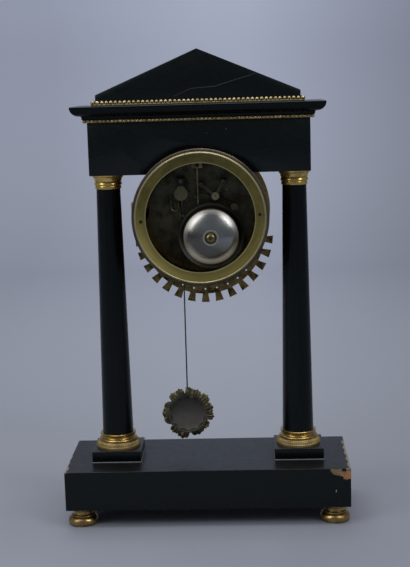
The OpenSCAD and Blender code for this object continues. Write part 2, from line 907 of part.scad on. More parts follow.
module back_ring() {
    edge = 0.8;
    groove = 0.4;
    collar_y = drum_back + collar_t;
    rim_top = drum_back + ring_depth;
    face_out_r = rim_r - 1.8;
    face_drop = 0.6;
    face_in_y = web_y + 1.2;
    color(brass)
        at_drum()
            difference() {
                turned_y()
                    polygon([
                        [sleeve_r - sleeve_wall, drum_back - sleeve_len], [sleeve_r, drum_back - sleeve_len],
                        [sleeve_r, drum_back], [collar_r - edge, drum_back],
                        [collar_r, drum_back + edge], [collar_r, drum_back + collar_t - edge],
                        [collar_r - edge, collar_y], [rim_r - groove, collar_y],
                        [rim_r - groove, collar_y + 1], [rim_r, collar_y + 1 + edge],
                        [rim_r, rim_top - edge], [rim_r - edge, rim_top],
                        [face_out_r + face_drop, rim_top], [face_out_r, rim_top - face_drop],
                        [opening_r, face_in_y], [opening_r, web_y], [sleeve_r - sleeve_wall, web_y]
                    ]);
                strap_places() {
                    bar_y([0, 0], strap_screw_r + fit, web_y - 1, rim_top);
                    bar_y([0, 0], strap_head_r + fit, strap_seat_y, rim_top);
                }
            }
}

module straps() {
    color(steel)
        at_drum()
            strap_places()
                difference() {
                    translate([-strap_t / 2, -drum_front, -strap_w / 2])
                        cube([strap_t, drum_front + web_y, strap_w]);
                    bar_y([0, 0], strap_screw_r + fit, web_y - strap_screw_len - hole_spare, web_y + 1);
                }
}

module strap_screws() {
    head_t = 0.7;
    color(steel)
        at_drum()
            strap_places() {
                bar_y([0, 0], strap_screw_r, web_y - strap_screw_len, strap_seat_y + head_t);
                bar_y([0, 0], strap_head_r, strap_seat_y, strap_seat_y + head_t);
            }
}

// Turns of the rays below the drum, the middle one straight down
module ray_turns(spare) {
    ray_side = floor(90 / ray_pitch) - spare;
    for (i = [-ray_side : ray_side])
        rotate(i * ray_pitch - 90)
            children();
}

// Outline of the rays below the drum
module rays_2d() {
    low_r = ray_root_r - 2;
    ray_turns(0)
        polygon([
            [low_r, -ray_root_w / 2], [ray_root_r, -ray_root_w / 2], [ray_tip_r, -ray_tip_w / 2],
            [ray_tip_r, ray_tip_w / 2], [ray_root_r, ray_root_w / 2], [low_r, ray_root_w / 2]
        ]);
}

module rayed_collar() {
    color(gilt)
        at_drum()
            along_y(-drum_front, -drum_front + ray_t)
                difference() {
                    translate([0, -ray_drop]) {
                        circle(r = ray_root_r, $fn = 96);
                        rays_2d();
                    }
                    circle(r = drum_r + fit, $fn = 96);
                    translate([-2 * drum_r, -ray_drop + ray_tip_w])
                        square([4 * drum_r, 2 * drum_r]);
                    translate([0, -ray_drop])
                        ray_turns(1)
                            translate([pierce_ring_r, 0])
                                circle(r = pierce_r);
                }
}

// Knuckle on the hinge axis between two heights, with its bore
module knuckle(low, high) {
    translate([hinge_x, hinge_y, low])
        difference() {
            cylinder(r = knuckle_r, h = high - low);
            translate([0, 0, -1])
                cylinder(r = hinge_pin_r + run, h = high - low + 2);
        }
}

// Block that joins a knuckle to its ring
module knuckle_root(inner_x, y_from, y_to, low, high) {
    difference() {
        translate([inner_x, y_from, low])
            cube([hinge_x - inner_x, y_to - y_from, high - low]);
        translate([hinge_x, hinge_y, low - 1])
            cylinder(r = hinge_pin_r + run, h = high - low + 2);
    }
}

module bezel_seat() {
    gap = knuckle_len / 2 + slip;
    root_x = seat_r - 1.5;
    color(gilt)
        at_drum() {
            turned_y()
                polygon([
                    [seat_in_r, dial_y], [dial_r + fit, dial_y], [dial_r + fit, seat_y], [seat_r, seat_y],
                    [seat_r, -drum_front], [sleeve_r, -drum_front], [sleeve_r, -drum_front + sleeve_len],
                    [sleeve_r - sleeve_wall, -drum_front + sleeve_len], [sleeve_r - sleeve_wall, -drum_front],
                    [seat_in_r, -drum_front]
                ]);
            for (end = [[-hinge_len / 2, -gap], [gap, hinge_len / 2]]) {
                knuckle(end[0], end[1]);
                knuckle_root(root_x, seat_y, seat_y + 2.2, end[0], end[1]);
            }
        }
}

module hinge_pin() {
    head_t = 0.8;
    color(brass)
        at_drum()
            translate([hinge_x, hinge_y, -hinge_len / 2]) {
                cylinder(r = hinge_pin_r, h = hinge_len);
                translate([0, 0, hinge_len])
                    cylinder(r = hinge_pin_r + 0.8, h = head_t);
            }
}

module bezel_door() {
    front = bezel_y - bezel_depth;
    edge = 0.8;
    root_x = bezel_r - 2;
    color(gilt)
        at_drum() {
            turned_y()
                polygon([
                    [bezel_in_r, front + edge], [bezel_in_r + edge, front], [bezel_r - 5.5, front],
                    [bezel_r - 3, front + 1.2], [bezel_r - 1, front + 3.4], [bezel_r, front + 6],
                    [bezel_r, bezel_y], [glass_r + fit, bezel_y],
                    [glass_r + fit, glass_y], [bezel_in_r, glass_y]
                ]);
            knuckle(-knuckle_len / 2, knuckle_len / 2);
            knuckle_root(root_x, bezel_y - 2.2, bezel_y, -knuckle_len / 2, knuckle_len / 2);
        }
}

module bezel_glass() {
    color("lightcyan", 0.35)
        at_drum()
            bar_y([0, 0], glass_r, glass_y, glass_y + glass_t);
}

module dial() {
    color("ivory")
        at_drum()
            difference() {
                bar_y([0, 0], dial_r, dial_y - dial_t, dial_y);
                bar_y([0, 0], hour_pipe_r + 0.6, dial_y - dial_t - 1, dial_y + 1);
                for (place = [barrel_pos, strike_barrel_pos])
                    bar_y(place, winding_r, dial_y - dial_t - 1, dial_y + 1);
            }
}

module dial_feet() {
    color(brass)
        at_drum()
            for (turn = [90 : 120 : 330])
                bar_y(polar(dial_feet_ring_r, turn), dial_foot_r, -drum_front, plate_a);
}

// Outline of a hand that points up, with a ring near its tip
module hand_2d(length, boss_r, bore_r, eye_out, eye_in) {
    eye_z = length * 0.7;
    tail = 8;
    tip_z = eye_z + eye_out - 0.4;
    difference() {
        union() {
            circle(r = boss_r);
            polygon([[-1.1, -tail], [1.1, -tail], [0.7, eye_z], [-0.7, eye_z]]);
            translate([0, eye_z])
                circle(r = eye_out);
            polygon([[-0.9, tip_z], [0.9, tip_z], [0.2, length], [-0.2, length]]);
        }
        circle(r = bore_r);
        translate([0, eye_z])
            circle(r = eye_in);
    }
}

module hour_hand() {
    hours = 10 + shown_minutes / 60;
    color("#20262e")
        at_drum()
            along_y(hour_hand_y, hour_hand_y + hand_t)
                rotate(-hours * 30)
                    hand_2d(hour_len, 3.6, hour_pipe_r + run, 3.4, 2.2);
}

module minute_hand() {
    color("#20262e")
        at_drum()
            along_y(minute_hand_y, minute_hand_y + hand_t)
                rotate(-shown_minutes * 6)
                    hand_2d(minute_len, 2.8, cannon_r + run, 3, 1.9);
}

module hand_nut() {
    color(brass)
        at_drum()
            difference() {
                bar_y([0, 0], 2.2, nut_front_y, minute_hand_y);
                bar_y([0, 0], cannon_in_r, nut_front_y - 1, minute_hand_y + 1);
            }
}

module front_plate() {
    color(brass)
        at_drum() {
            difference() {
                bar_y([0, 0], plate_r, plate_a, plate_b);
                pivot_bores();
                bar_y(pallet_pos, pivot_r + run, plate_a - 1, plate_b + 1);
                bar_y(center_pos, center_front_r + run, plate_a - 1, plate_b + 1);
                pillar_places()
                    bar_y([0, 0], pillar_r / 2 + fit, plate_a - 1, plate_b + 1);
            }
            bar_y(minute_pos, stud_axle_r, hour_y - 1.4, plate_a);
        }
}

module back_plate() {
    color("#3f3b28")
        at_drum()
            difference() {
                bar_y([0, 0], plate_r, plate_c, plate_d);
                pivot_bores();
                bar_y(center_pos, pivot_r + run, plate_c - 1, plate_d + 1);
                bar_y(hammer_pos, hammer_pivot_r + run, plate_c - 1, plate_d + 1);
                bar_y(pallet_pos, 3, plate_c - 1, plate_d + 1);
                pillar_places()
                    bar_y([0, 0], pillar_r / 2 + fit, plate_c - 1, plate_d + 1);
            }
}

module plate_pillars() {
    waist_r = pillar_r - 0.8;
    foot_len = 4;
    middle = (plate_b + plate_c) / 2;
    color(brass)
        at_drum()
            pillar_places() {
                turned_y()
                    polygon([
                        [0, plate_b], [pillar_r, plate_b], [pillar_r, plate_b + foot_len],
                        [waist_r, plate_b + foot_len + 1], [waist_r, middle - 2], [pillar_r, middle],
                        [waist_r, middle + 2], [waist_r, plate_c - foot_len - 1],
                        [pillar_r, plate_c - foot_len], [pillar_r, plate_c], [0, plate_c]
                    ]);
                bar_y([0, 0], pillar_r / 2, plate_a - 1, plate_d + 1);
            }
}

module cannon_pinion() {
    turn = gap_to(center_pos, minute_pos, cannon_teeth);
    color(steel)
        at_drum()
            difference() {
                union() {
                    bar_y(center_pos, cannon_r, minute_hand_y, plate_a - end_shake);
                    gear(center_pos, cannon_teeth, minute_module, turn, minute_y - 0.4, wheel_t + 0.8);
                }
                bar_y(center_pos, cannon_in_r, minute_hand_y - 1, plate_a + 1);
            }
}

module minute_wheel() {
    wheel_turn = tooth_to(minute_pos, center_pos);
    pinion_turn = gap_to(minute_pos, center_pos, minute_pinion);
    pinion_y = hour_y - 0.6;
    color(brass)
        at_drum()
            difference() {
                union() {
                    gear(minute_pos, minute_teeth, minute_module, wheel_turn, minute_y, wheel_t);
                    gear(minute_pos, minute_pinion, hour_module, pinion_turn, pinion_y, minute_y - pinion_y);
                    bar_y(minute_pos, stud_axle_r + 0.9, minute_y, plate_a - end_shake);
                }
                bar_y(minute_pos, stud_axle_r + run, hour_y - 3, plate_a + 1);
            }
}

module hour_wheel() {
    turn = tooth_to(center_pos, minute_pos);
    color(brass)
        at_drum()
            difference() {
                union() {
                    gear(center_pos, hour_teeth, hour_module, turn, hour_y, wheel_t);
                    bar_y(center_pos, hour_pipe_r, hour_hand_y, hour_y + wheel_t + 0.6);
                }
                bar_y(center_pos, hour_pipe_in_r, hour_hand_y - 1, hour_y + wheel_t + 2);
            }
}

module center_wheel() {
    color(brass)
        at_drum() {
            bar_y(center_pos, arbor_r + 0.5, plate_b + end_shake, plate_c - end_shake);
            bar_y(center_pos, pivot_r, plate_c - 1, plate_d - end_shake);
            bar_y(center_pos, center_front_r, nut_front_y, plate_b + 1);
            gear(center_pos, barrel_pinion, barrel_module, gap_to(center_pos, barrel_pos, barrel_pinion),
                barrel_rim_y - 0.4, pinion_t + 0.8);
            gear(center_pos, center_teeth, center_module, tooth_to(center_pos, third_pos), center_y, wheel_t);
        }
}

module third_wheel() {
    color(brass)
        at_drum() {
            arbor(third_pos, arbor_r);
            gear(third_pos, train_pinion, center_module, gap_to(third_pos, center_pos, train_pinion),
                center_y - 0.8, wheel_t + 1.6);
            gear(third_pos, third_teeth, third_module, tooth_to(third_pos, escape_pos), third_y, wheel_t);
        }
}

// Outline of the escape wheel, with teeth that lean forward
module escape_2d() {
    pitch = 360 / escape_teeth;
    root = escape_r - 1.4;
    polygon([
        for (i = [0 : escape_teeth - 1])
            for (point = [[root, 0], [escape_r, 0.5], [escape_r, 0.6], [root, 0.75]])
                polar(point[0], (i + point[1]) * pitch)
    ]);
}

module escape_wheel() {
    color(brass)
        at_drum() {
            arbor(escape_pos, arbor_r - 0.1);
            gear(escape_pos, train_pinion, third_module, gap_to(escape_pos, third_pos, train_pinion),
                third_y - 0.8, wheel_t + 1.6);
            translate([escape_pos[0], 0, escape_pos[1]])
                along_y(escape_y, escape_y + wheel_t)
                    escape_2d();
        }
}

// Outline of the anchor round the escape wheel
module anchor_2d() {
    inner = escape_r + anchor_gap;
    outer = inner + 1.6;
    reach = 2 * outer;
    half_span = 42;
    facing = heading(escape_pos, pallet_pos);
    translate(escape_pos)
        intersection() {
            difference() {
                circle(r = outer, $fn = 96);
                circle(r = inner, $fn = 96);
            }
            polygon([
                [0, 0], polar(reach, facing - half_span),
                polar(reach, facing), polar(reach, facing + half_span)
            ]);
        }
    difference() {
        translate(pallet_pos)
            circle(r = 2.4);
        translate(escape_pos)
            circle(r = inner, $fn = 96);
    }
}

// Pallet arbor with the anchor between the plates and the crutch behind them
module anchor() {
    foot = pallet_pos - [0, crutch_len];
    prong_x = rod_r + run + prong_r;
    bridge_w = 2 * prong_x + 2 * prong_r + 0.4;
    color(steel)
        at_drum() {
            bar_y(pallet_pos, pivot_r, plate_a + end_shake, plate_b + 1);
            bar_y(pallet_pos, arbor_r, plate_b + end_shake, cock_y - cock_tube_len - slip);
            bar_y(pallet_pos, cock_bore_r - run, cock_y - cock_tube_len - 1, cock_y + 0.6);
            along_y(escape_y - 0.2, escape_y + wheel_t + 0.2)
                anchor_2d();
            bar_y(pallet_pos, 1.8, crutch_y, crutch_y + crutch_t + 0.6);
            along_y(crutch_y, crutch_y + crutch_t) {
                arm_2d(pallet_pos, foot, 1.6);
                translate(foot - [bridge_w / 2, 1.2])
                    square([bridge_w, 2.4]);
            }
            for (side = [-1, 1])
                bar_y(foot + [side * prong_x, 0], prong_r, crutch_y, rod_y + 2);
        }
}

// Barrel with its toothed rim at one end and its winding square
module barrel(place, mate, rim_y) {
    color(brass)
        at_drum() {
            bar_y(place, barrel_arbor_r, plate_a + end_shake, plate_d - end_shake);
            bar_y(place, barrel_body_r, barrel_y, barrel_rim_y + pinion_t);
            bar_y(place, barrel_arbor_r + 1.2, plate_b + end_shake, barrel_y + 1);
            bar_y(place, barrel_arbor_r + 1.2, plate_c - 2, plate_c - end_shake);
            gear(place, barrel_teeth, barrel_module, tooth_to(place, mate), rim_y, pinion_t);
            translate([place[0], 0, place[1]])
                along_y(winding_front_y, plate_a + 1)
                    rotate(45)
                        circle(r = barrel_arbor_r - 0.1, $fn = 4);
        }
}

module going_barrel() barrel(barrel_pos, center_pos, barrel_rim_y);
module strike_barrel() barrel(strike_barrel_pos, strike_pos, barrel_y);

module strike_wheel() {
    pin_count = 10;
    pin_r = 0.5;
    pin_y = third_y + wheel_t + 1.6;
    pinion_turn = gap_to(strike_pos, strike_barrel_pos, barrel_pinion);
    pin_ring_r = strike_teeth * strike_module / 2 - 2;
    color(brass)
        at_drum() {
            arbor(strike_pos, arbor_r + 0.3);
            gear(strike_pos, barrel_pinion, barrel_module, pinion_turn, barrel_y - 0.4, pinion_t + 0.8);
            gear(strike_pos, strike_teeth, strike_module, tooth_to(strike_pos, fly_pos), third_y, wheel_t);
            for (i = [0 : pin_count - 1])
                bar_y(strike_pos + polar(pin_ring_r, i * 360 / pin_count), pin_r, third_y, pin_y);
        }
}

module fly() {
    vane_w = 12;
    vane_len = 9;
    vane_t = 0.8;
    color(brass)
        at_drum() {
            arbor(fly_pos, arbor_r);
            gear(fly_pos, train_pinion, strike_module, gap_to(fly_pos, strike_pos, train_pinion),
                third_y - 0.8, wheel_t + 1.6);
            translate([fly_pos[0] - vane_w / 2, barrel_y, fly_pos[1] - vane_t / 2])
                cube([vane_w, vane_len, vane_t]);
        }
}

module hammer() {
    tail_r = 0.8;
    tail = [spring_x - spring_w / 2 - 0.6 - tail_r, hammer_z + 3];
    color(steel)
        at_drum() {
            bar_y(hammer_pos, hammer_arbor_r, plate_d + end_shake, hammer_cock_y - end_shake);
            bar_y(hammer_pos, hammer_pivot_r, plate_c + end_shake, hammer_cock_y + hammer_cock_t - end_shake);
            bar_y(hammer_pos, 2.2, hammer_arm_y - 1.6, hammer_arm_y + 1.6);
            strut(hammer_pos, hammer_head_pos, hammer_arm_r, hammer_arm_y);
            bar_y(hammer_head_pos, hammer_head_r, hammer_arm_y - 1.4, bell_y + 2.6);
            strut(hammer_pos, tail, tail_r - 0.1, hammer_arm_y);
            bar_y(tail, tail_r, hammer_arm_y - 1, hammer_arm_y + 1);
        }
}

module hammer_cock() {
    foot_r_out = 2.4;
    color(brass)
        at_drum()
            difference() {
                union() {
                    along_y(hammer_cock_y, hammer_cock_y + hammer_cock_t) {
                        translate(hammer_pos)
                            circle(r = hammer_cock_r);
                        for (place = cock_feet)
                            arm_2d(hammer_pos, place, 2.6);
                    }
                    for (place = cock_feet)
                        bar_y(place, foot_r_out, plate_d, hammer_cock_y + hammer_cock_t);
                }
                bar_y(hammer_pos, hammer_pivot_r + run, hammer_cock_y - 1, hammer_cock_y + hammer_cock_t + 1);
                for (place = cock_feet)
                    bar_y(place, screw_r + fit, plate_d + 3, hammer_cock_y + hammer_cock_t + 1);
            }
}

module hammer_spring() {
    color(steel)
        at_drum()
            difference() {
                union() {
                    translate([spring_x - spring_block_w / 2, plate_d, spring_block_z])
                        cube([spring_block_w, spring_y + spring_w - plate_d, spring_block_h]);
                    translate([spring_x - spring_w / 2, spring_y, spring_low])
                        cube([spring_w, spring_w, spring_block_z + 1 - spring_low]);
                }
                bar_y(spring_screw_pos, screw_r + fit, plate_d + 2, spring_y + 2 * spring_w);
            }
}

module bell_stand() {
    foot_t = 2;
    color(brass)
        at_drum() {
            bar_y(bell_pos, 2 * bell_stand_r, plate_d, plate_d + foot_t);
            bar_y(bell_pos, bell_stand_r, plate_d, bell_top_y - bell_wall - fit);
            bar_y(bell_pos, bell_stud_r, plate_d, bell_top_y + 4.6);
        }
}

// Half section of a bell skin: shallow dome, rounded shoulder and flared rim
function bell_edge(inset) = concat(
    [for (step = [1 : 7])
        let (turn = dome_tilt * step / 7)
            [(dome_arc - inset) * sin(turn), bell_top_y - dome_arc + (dome_arc - inset) * cos(turn)]],
    [for (step = [1 : 4])
        let (turn = dome_tilt + (90 - dome_tilt) * step / 4)
            [dome_r - shoulder_r + (shoulder_r - inset) * sin(turn),
                shoulder_y + (shoulder_r - inset) * cos(turn)]],
    [for (turn = [15 : 15 : 90])
        [bell_r - inset * cos(turn) - (bell_r - dome_r) * cos(turn),
            shoulder_y - (shoulder_y - bell_y) * sin(turn)]]
);

module bell() {
    outer = bell_edge(0);
    inner = bell_edge(bell_wall);
    hole_r = bell_stud_r + fit;
    color("#b9bcc0")
        at_drum()
            translate([bell_pos[0], 0, bell_pos[1]])
                turned_y()
                    polygon(concat(
                        [[hole_r, bell_top_y - bell_wall], [hole_r, bell_top_y]], outer,
                        [[bell_r - bell_wall, bell_y]],
                        [for (i = [len(inner) - 2 : -1 : 0]) inner[i]]
                    ));
}

module bell_nut() {
    washer_t = 0.9;
    slot_t = 0.8;
    color(brass)
        at_drum()
            difference() {
                translate([bell_pos[0], 0, bell_pos[1]])
                    turned_y()
                        polygon([
                            [bell_stud_r + fit, bell_top_y], [bell_washer_r, bell_top_y],
                            [bell_washer_r, bell_top_y + washer_t], [bell_nut_r, bell_top_y + washer_t],
                            [bell_nut_r, bell_top_y + 2.6], [bell_nut_r - 1.2, bell_top_y + 4.2],
                            [bell_nut_r - 2.4, bell_top_y + 4.8], [bell_stud_r + fit, bell_top_y + 4.8]
                        ]);
                translate([bell_pos[0] - bell_nut_r, bell_top_y + 3.6, bell_pos[1] - slot_t / 2])
                    cube([bell_nut_r - bell_stud_r - 0.6, 2, slot_t]);
                translate([bell_pos[0] + bell_stud_r + 0.6, bell_top_y + 3.6, bell_pos[1] - slot_t / 2])
                    cube([bell_nut_r - bell_stud_r - 0.6, 2, slot_t]);
            }
}

module suspension_cock() {
    arm_w = 7;
    foot_z = pallet_z + cock_foot_low;
    color(brass)
        at_drum()
            difference() {
                union() {
                    bar_y(pallet_pos, cock_disc_r, cock_y, cock_y + cock_t);
                    bar_y(pallet_pos, cock_tube_r, cock_y - cock_tube_len, cock_y + 1);
                    translate([pallet_x - arm_w / 2, cock_y, pallet_z])
                        cube([arm_w, cock_t, cock_foot_high]);
                    translate([pallet_x - cock_foot_w / 2, plate_d, foot_z])
                        cube([cock_foot_w, cock_y + cock_t - plate_d, cock_foot_high - cock_foot_low]);
                }
                bar_y(pallet_pos, cock_bore_r, cock_y - cock_tube_len - 1, cock_y + 1);
                bar_y(cock_screw_pos, screw_r + fit, plate_d + 2, cock_y + cock_t + 1);
            }
}

// Screw with a round head on a piece behind the back plate
module plate_screw(place, low, seat) {
    bar_y(place, screw_r, low, seat + 0.2);
    bar_y(place, screw_head_r, seat, seat + screw_head_t);
}

module cock_screws() {
    color(steel)
        at_drum() {
            plate_screw(cock_screw_pos, plate_d + 2, cock_y + cock_t);
            for (place = cock_feet)
                plate_screw(place, plate_d + 3, hammer_cock_y + hammer_cock_t);
            plate_screw(spring_screw_pos, plate_d + 2, spring_y + spring_w);
        }
}

// Bent wire hook that steadies the pendulum rod when the clock is carried
module steady_hook() {
    long_top = pallet_z - 2;
    short_top = pallet_z - 9;
    centre_x = hook_x - hook_bend_r;
    color(brass)
        at_drum() {
            bar_y([hook_x, long_top], hook_r, plate_d, hook_y);
            translate([hook_x, hook_y, hook_bend_z])
                cylinder(r = hook_r, h = long_top - hook_bend_z);
            translate([hook_x, hook_y, long_top])
                sphere(r = hook_r);
            translate([centre_x - hook_bend_r, hook_y, hook_bend_z])
                cylinder(r = hook_r, h = short_top - hook_bend_z);
            translate([centre_x, hook_y, hook_bend_z])
                rotate([-90, 0, 0])
                    rotate_extrude(angle = 180)
                        translate([hook_bend_r, 0])
                            circle(r = hook_r);
        }
}

// Rod of the pendulum, hung by its eye on the tube of the cock
module pendulum_rod() {
    rod_low = pallet_z - pendulum_len + bob_r - 0.5;
    color(steel)
        at_drum()
            difference() {
                union() {
                    bar_y(pallet_pos, eye_r, rod_y - eye_t / 2, rod_y + eye_t / 2);
                    translate([pallet_x, rod_y, rod_low])
                        cylinder(r = rod_r, h = pallet_z - rod_low);
                }
                bar_y(pallet_pos, cock_tube_r + run, rod_y - eye_t, rod_y + eye_t);
            }
}

// Bob with a dished back and a border of leaves
module pendulum_bob() {
    leaf_count = 11;
    leaf_t = 2.4;
    skin = 1.4;
    dish_y = rod_y + 1.6;
    socket_r = 1.7;
    socket_top = leaf_ring_r + leaf_r + 1;
    color(gilt)
        at_drum()
            translate([pallet_x, 0, pallet_z - pendulum_len])
                difference() {
                    union() {
                        turned_y()
                            polygon(concat(
                                [for (turn = [0 : 10 : 90])
                                    [bob_r * sin(turn), dish_y - bob_depth * cos(turn)]],
                                [[bob_r - skin, dish_y]],
                                [for (turn = [80 : -10 : 0])
                                    [(bob_r - skin) * sin(turn), dish_y - (bob_depth - skin) * cos(turn)]]
                            ));
                        along_y(dish_y - leaf_t, dish_y)
                            difference() {
                                union() {
                                    circle(r = leaf_ring_r);
                                    for (i = [0 : leaf_count - 1])
                                        rotate(i * 360 / leaf_count)
                                            translate([0, leaf_ring_r])
                                                circle(r = leaf_r);
                                }
                                circle(r = bob_r - skin / 2);
                            }
                        translate([0, rod_y, bob_r - 1.4])
                            cylinder(r = socket_r, h = socket_top - bob_r + 1.4);
                    }
                    translate([0, rod_y, bob_r - 0.8])
                        cylinder(r = rod_r + run, h = socket_top);
                }
}

plinth();
foot_front_left();
foot_front_right();
foot_back_left();
foot_back_right();
pedestal_left();
pedestal_right();
column_base_left();
column_base_right();
column_shaft_left();
column_shaft_right();
capital_left();
capital_right();
tie_rods();
tie_rod_nuts();
frieze();
lower_bead_strip();
cornice();
upper_bead_strip();
pediment();
drum();
drum_screws();
back_ring();
bezel_seat();
rayed_collar();
hinge_pin();
bezel_door();
bezel_glass();
dial();
dial_feet();
hour_hand();
minute_hand();
hand_nut();
front_plate();
back_plate();
plate_pillars();
straps();
strap_screws();
cannon_pinion();
minute_wheel();
hour_wheel();
center_wheel();
third_wheel();
escape_wheel();
anchor();
going_barrel();
strike_barrel();
strike_wheel();
fly();
hammer();
hammer_cock();
hammer_spring();
bell_stand();
bell();
bell_nut();
suspension_cock();
cock_screws();
steady_hook();
pendulum_rod();
pendulum_bob();
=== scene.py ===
import json
import math
import random

import bmesh
import bpy
from mathutils import Matrix, Vector


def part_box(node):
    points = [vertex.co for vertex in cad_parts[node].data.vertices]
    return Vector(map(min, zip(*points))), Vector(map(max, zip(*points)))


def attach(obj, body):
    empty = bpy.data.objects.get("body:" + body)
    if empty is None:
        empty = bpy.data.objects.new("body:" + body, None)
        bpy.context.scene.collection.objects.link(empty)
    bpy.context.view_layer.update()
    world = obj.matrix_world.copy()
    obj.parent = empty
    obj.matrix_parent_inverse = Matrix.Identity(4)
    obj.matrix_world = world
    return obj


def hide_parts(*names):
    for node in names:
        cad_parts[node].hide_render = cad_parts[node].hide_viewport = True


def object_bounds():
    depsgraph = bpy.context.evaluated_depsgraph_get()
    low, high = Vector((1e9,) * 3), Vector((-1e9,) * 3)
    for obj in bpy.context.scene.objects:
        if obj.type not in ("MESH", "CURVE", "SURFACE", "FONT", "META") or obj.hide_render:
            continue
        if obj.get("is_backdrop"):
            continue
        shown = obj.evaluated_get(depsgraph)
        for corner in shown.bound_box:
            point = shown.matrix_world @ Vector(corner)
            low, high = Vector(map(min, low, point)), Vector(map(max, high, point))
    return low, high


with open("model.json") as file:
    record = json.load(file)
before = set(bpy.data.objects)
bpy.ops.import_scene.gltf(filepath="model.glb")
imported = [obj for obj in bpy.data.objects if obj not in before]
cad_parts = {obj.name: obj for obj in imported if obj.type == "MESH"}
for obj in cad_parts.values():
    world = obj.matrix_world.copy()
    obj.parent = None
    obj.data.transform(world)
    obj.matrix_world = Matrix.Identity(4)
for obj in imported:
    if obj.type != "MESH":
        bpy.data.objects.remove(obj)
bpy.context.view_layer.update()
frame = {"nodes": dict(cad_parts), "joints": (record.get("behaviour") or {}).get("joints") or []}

MM = 0.001
rng = random.Random(11)


# Main places and sizes in millimetres, read from the frame where it has them


def cad_box(node):
    """Lowest and highest corner of a solid of the part."""
    low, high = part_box(node)
    return [round(v / MM, 3) for v in low], [round(v / MM, 3) for v in high]


def middle(node):
    """Centre of a solid's box."""
    return [round((low + high) / 2, 2) for low, high in zip(*cad_box(node))]


def joint_at(name):
    """Place of a joint."""
    joint = next(j for j in frame["joints"] if j["name"] == name)
    return [round(v / MM, 3) for v in joint["pos_m"]]


DRUM_Z = joint_at("minute_turn")[2]
HAMMER_X, _, HAMMER_Z = joint_at("hammer_lift")
BOB_X, ROD_Y, HANG_Z = joint_at("pendulum_swing")
BELL_X, _, BELL_Z = middle("bell_nut")
DOME_R = 26.0
RING_BORE, RING_RIM, RING_COLLAR = 50.4, 59.1, 61.0
PENDULUM_LENGTH = 213.0
BOB_DEPTH = 5.0
BOB_Y = cad_box("pendulum_bob")[0][1] + BOB_DEPTH
BOB_Z = HANG_Z - PENDULUM_LENGTH
DIAL_Y = cad_box("dial")[0][1]

PLINTH = Vector(cad_box("plinth")[1])
PLINTH_LOW = cad_box("plinth")[0][2]
COLUMN_X = middle("pedestal_right")[0]
PEDESTAL = cad_box("pedestal_right")[1][1]
BASE_Z = cad_box("column_base_right")[0][2]
CAPITAL_Z = cad_box("capital_right")[0][2]
FOOT_X, FOOT_Y = middle("foot_back_right")[:2]
FRIEZE_LOW = cad_box("frieze")[0][2]
FRIEZE_X, FRIEZE_Y, FRIEZE_TOP = cad_box("frieze")[1]
GABLE_LOW = cad_box("pediment")[0][2]
GABLE_X, GABLE_Y, GABLE_TOP = cad_box("pediment")[1]


# Mesh helpers, in the part's own frame

SHARP = 32.0
MERGE_DISTANCE = 2e-6
FLAT_DISTANCE = 1e-7
CORNERS = ((1, 1), (-1, 1), (-1, -1), (1, -1))


def piece(name, verts, faces, body, material, slot, sharp=SHARP, nodes=()):
    """A mesh piece that rides on a body and may stand for solids of the part."""
    form = bmesh.new()
    made = [form.verts.new(Vector(v) * MM) for v in verts]
    for corners in faces:
        form.faces.new([made[i] for i in corners])
    bmesh.ops.remove_doubles(form, verts=form.verts, dist=MERGE_DISTANCE)
    bmesh.ops.dissolve_degenerate(form, edges=form.edges, dist=FLAT_DISTANCE)
    bmesh.ops.recalc_face_normals(form, faces=form.faces)
    data = bpy.data.meshes.new(name)
    form.to_mesh(data)
    form.free()
    data.materials.append(material)
    data.shade_smooth()
    data.set_sharp_from_angle(angle=math.radians(sharp))
    obj = bpy.data.objects.new(name, data)
    bpy.context.scene.collection.objects.link(obj)
    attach(obj, body)
    if nodes:
        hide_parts(*nodes)
    return obj


def join(*forms):
    """Several lists of points and faces as one."""
    verts, faces = [], []
    for points, corners in forms:
        base = len(verts)
        verts += list(points)
        faces += [tuple(i + base for i in c) for c in corners]
    return verts, faces


def arc(cx, cy, r, start, end, steps):
    """Points on an arc, angles in degrees."""
    turns = [math.radians(start + (end - start) * i / steps) for i in range(steps + 1)]
    return [(cx + r * math.cos(t), cy + r * math.sin(t)) for t in turns]


def lathe(profile, segments, loop=False, wave=None):
    """Turned form about Z from points of radius and height."""
    n = len(profile)
    verts, faces = [], []
    for i in range(segments):
        turn = 2 * math.pi * i / segments
        for r, h in profile:
            reach = r + (wave(turn, r, h) if wave else 0.0)
            verts.append((reach * math.cos(turn), reach * math.sin(turn), h))
    for i in range(segments):
        j = (i + 1) % segments
        for k in range(n if loop else n - 1):
            m = (k + 1) % n
            faces.append((i * n + k, j * n + k, j * n + m, i * n + m))
    return verts, faces


def upright(form, x, y, z):
    """A form about Z moved to a place."""
    points, faces = form
    return [(p[0] + x, p[1] + y, p[2] + z) for p in points], faces


def along_y(form, x, z):
    """A form about Z laid along Y at a place in X and Z."""
    points, faces = form
    return [(p[0] + x, p[2], p[1] + z) for p in points], faces


def lines(low, high, edge, step, fine=()):
    """Grid lines from low to high, close together near both ends and in fine stretches."""
    least_gap = 0.02
    marks = {low, high}
    for share in (0.15, 0.35, 0.6, 1.0):
        marks.update((low + share * edge, high - share * edge))
    for start, end, pitch in [(low + edge, high - edge, step), *fine]:
        count = max(1, round((end - start) / pitch))
        marks.update(start + (end - start) * i / count for i in range(count + 1))
    out = []
    for mark in sorted(marks):
        if not out or mark - out[-1] > least_gap:
            out.append(mark)
    return out


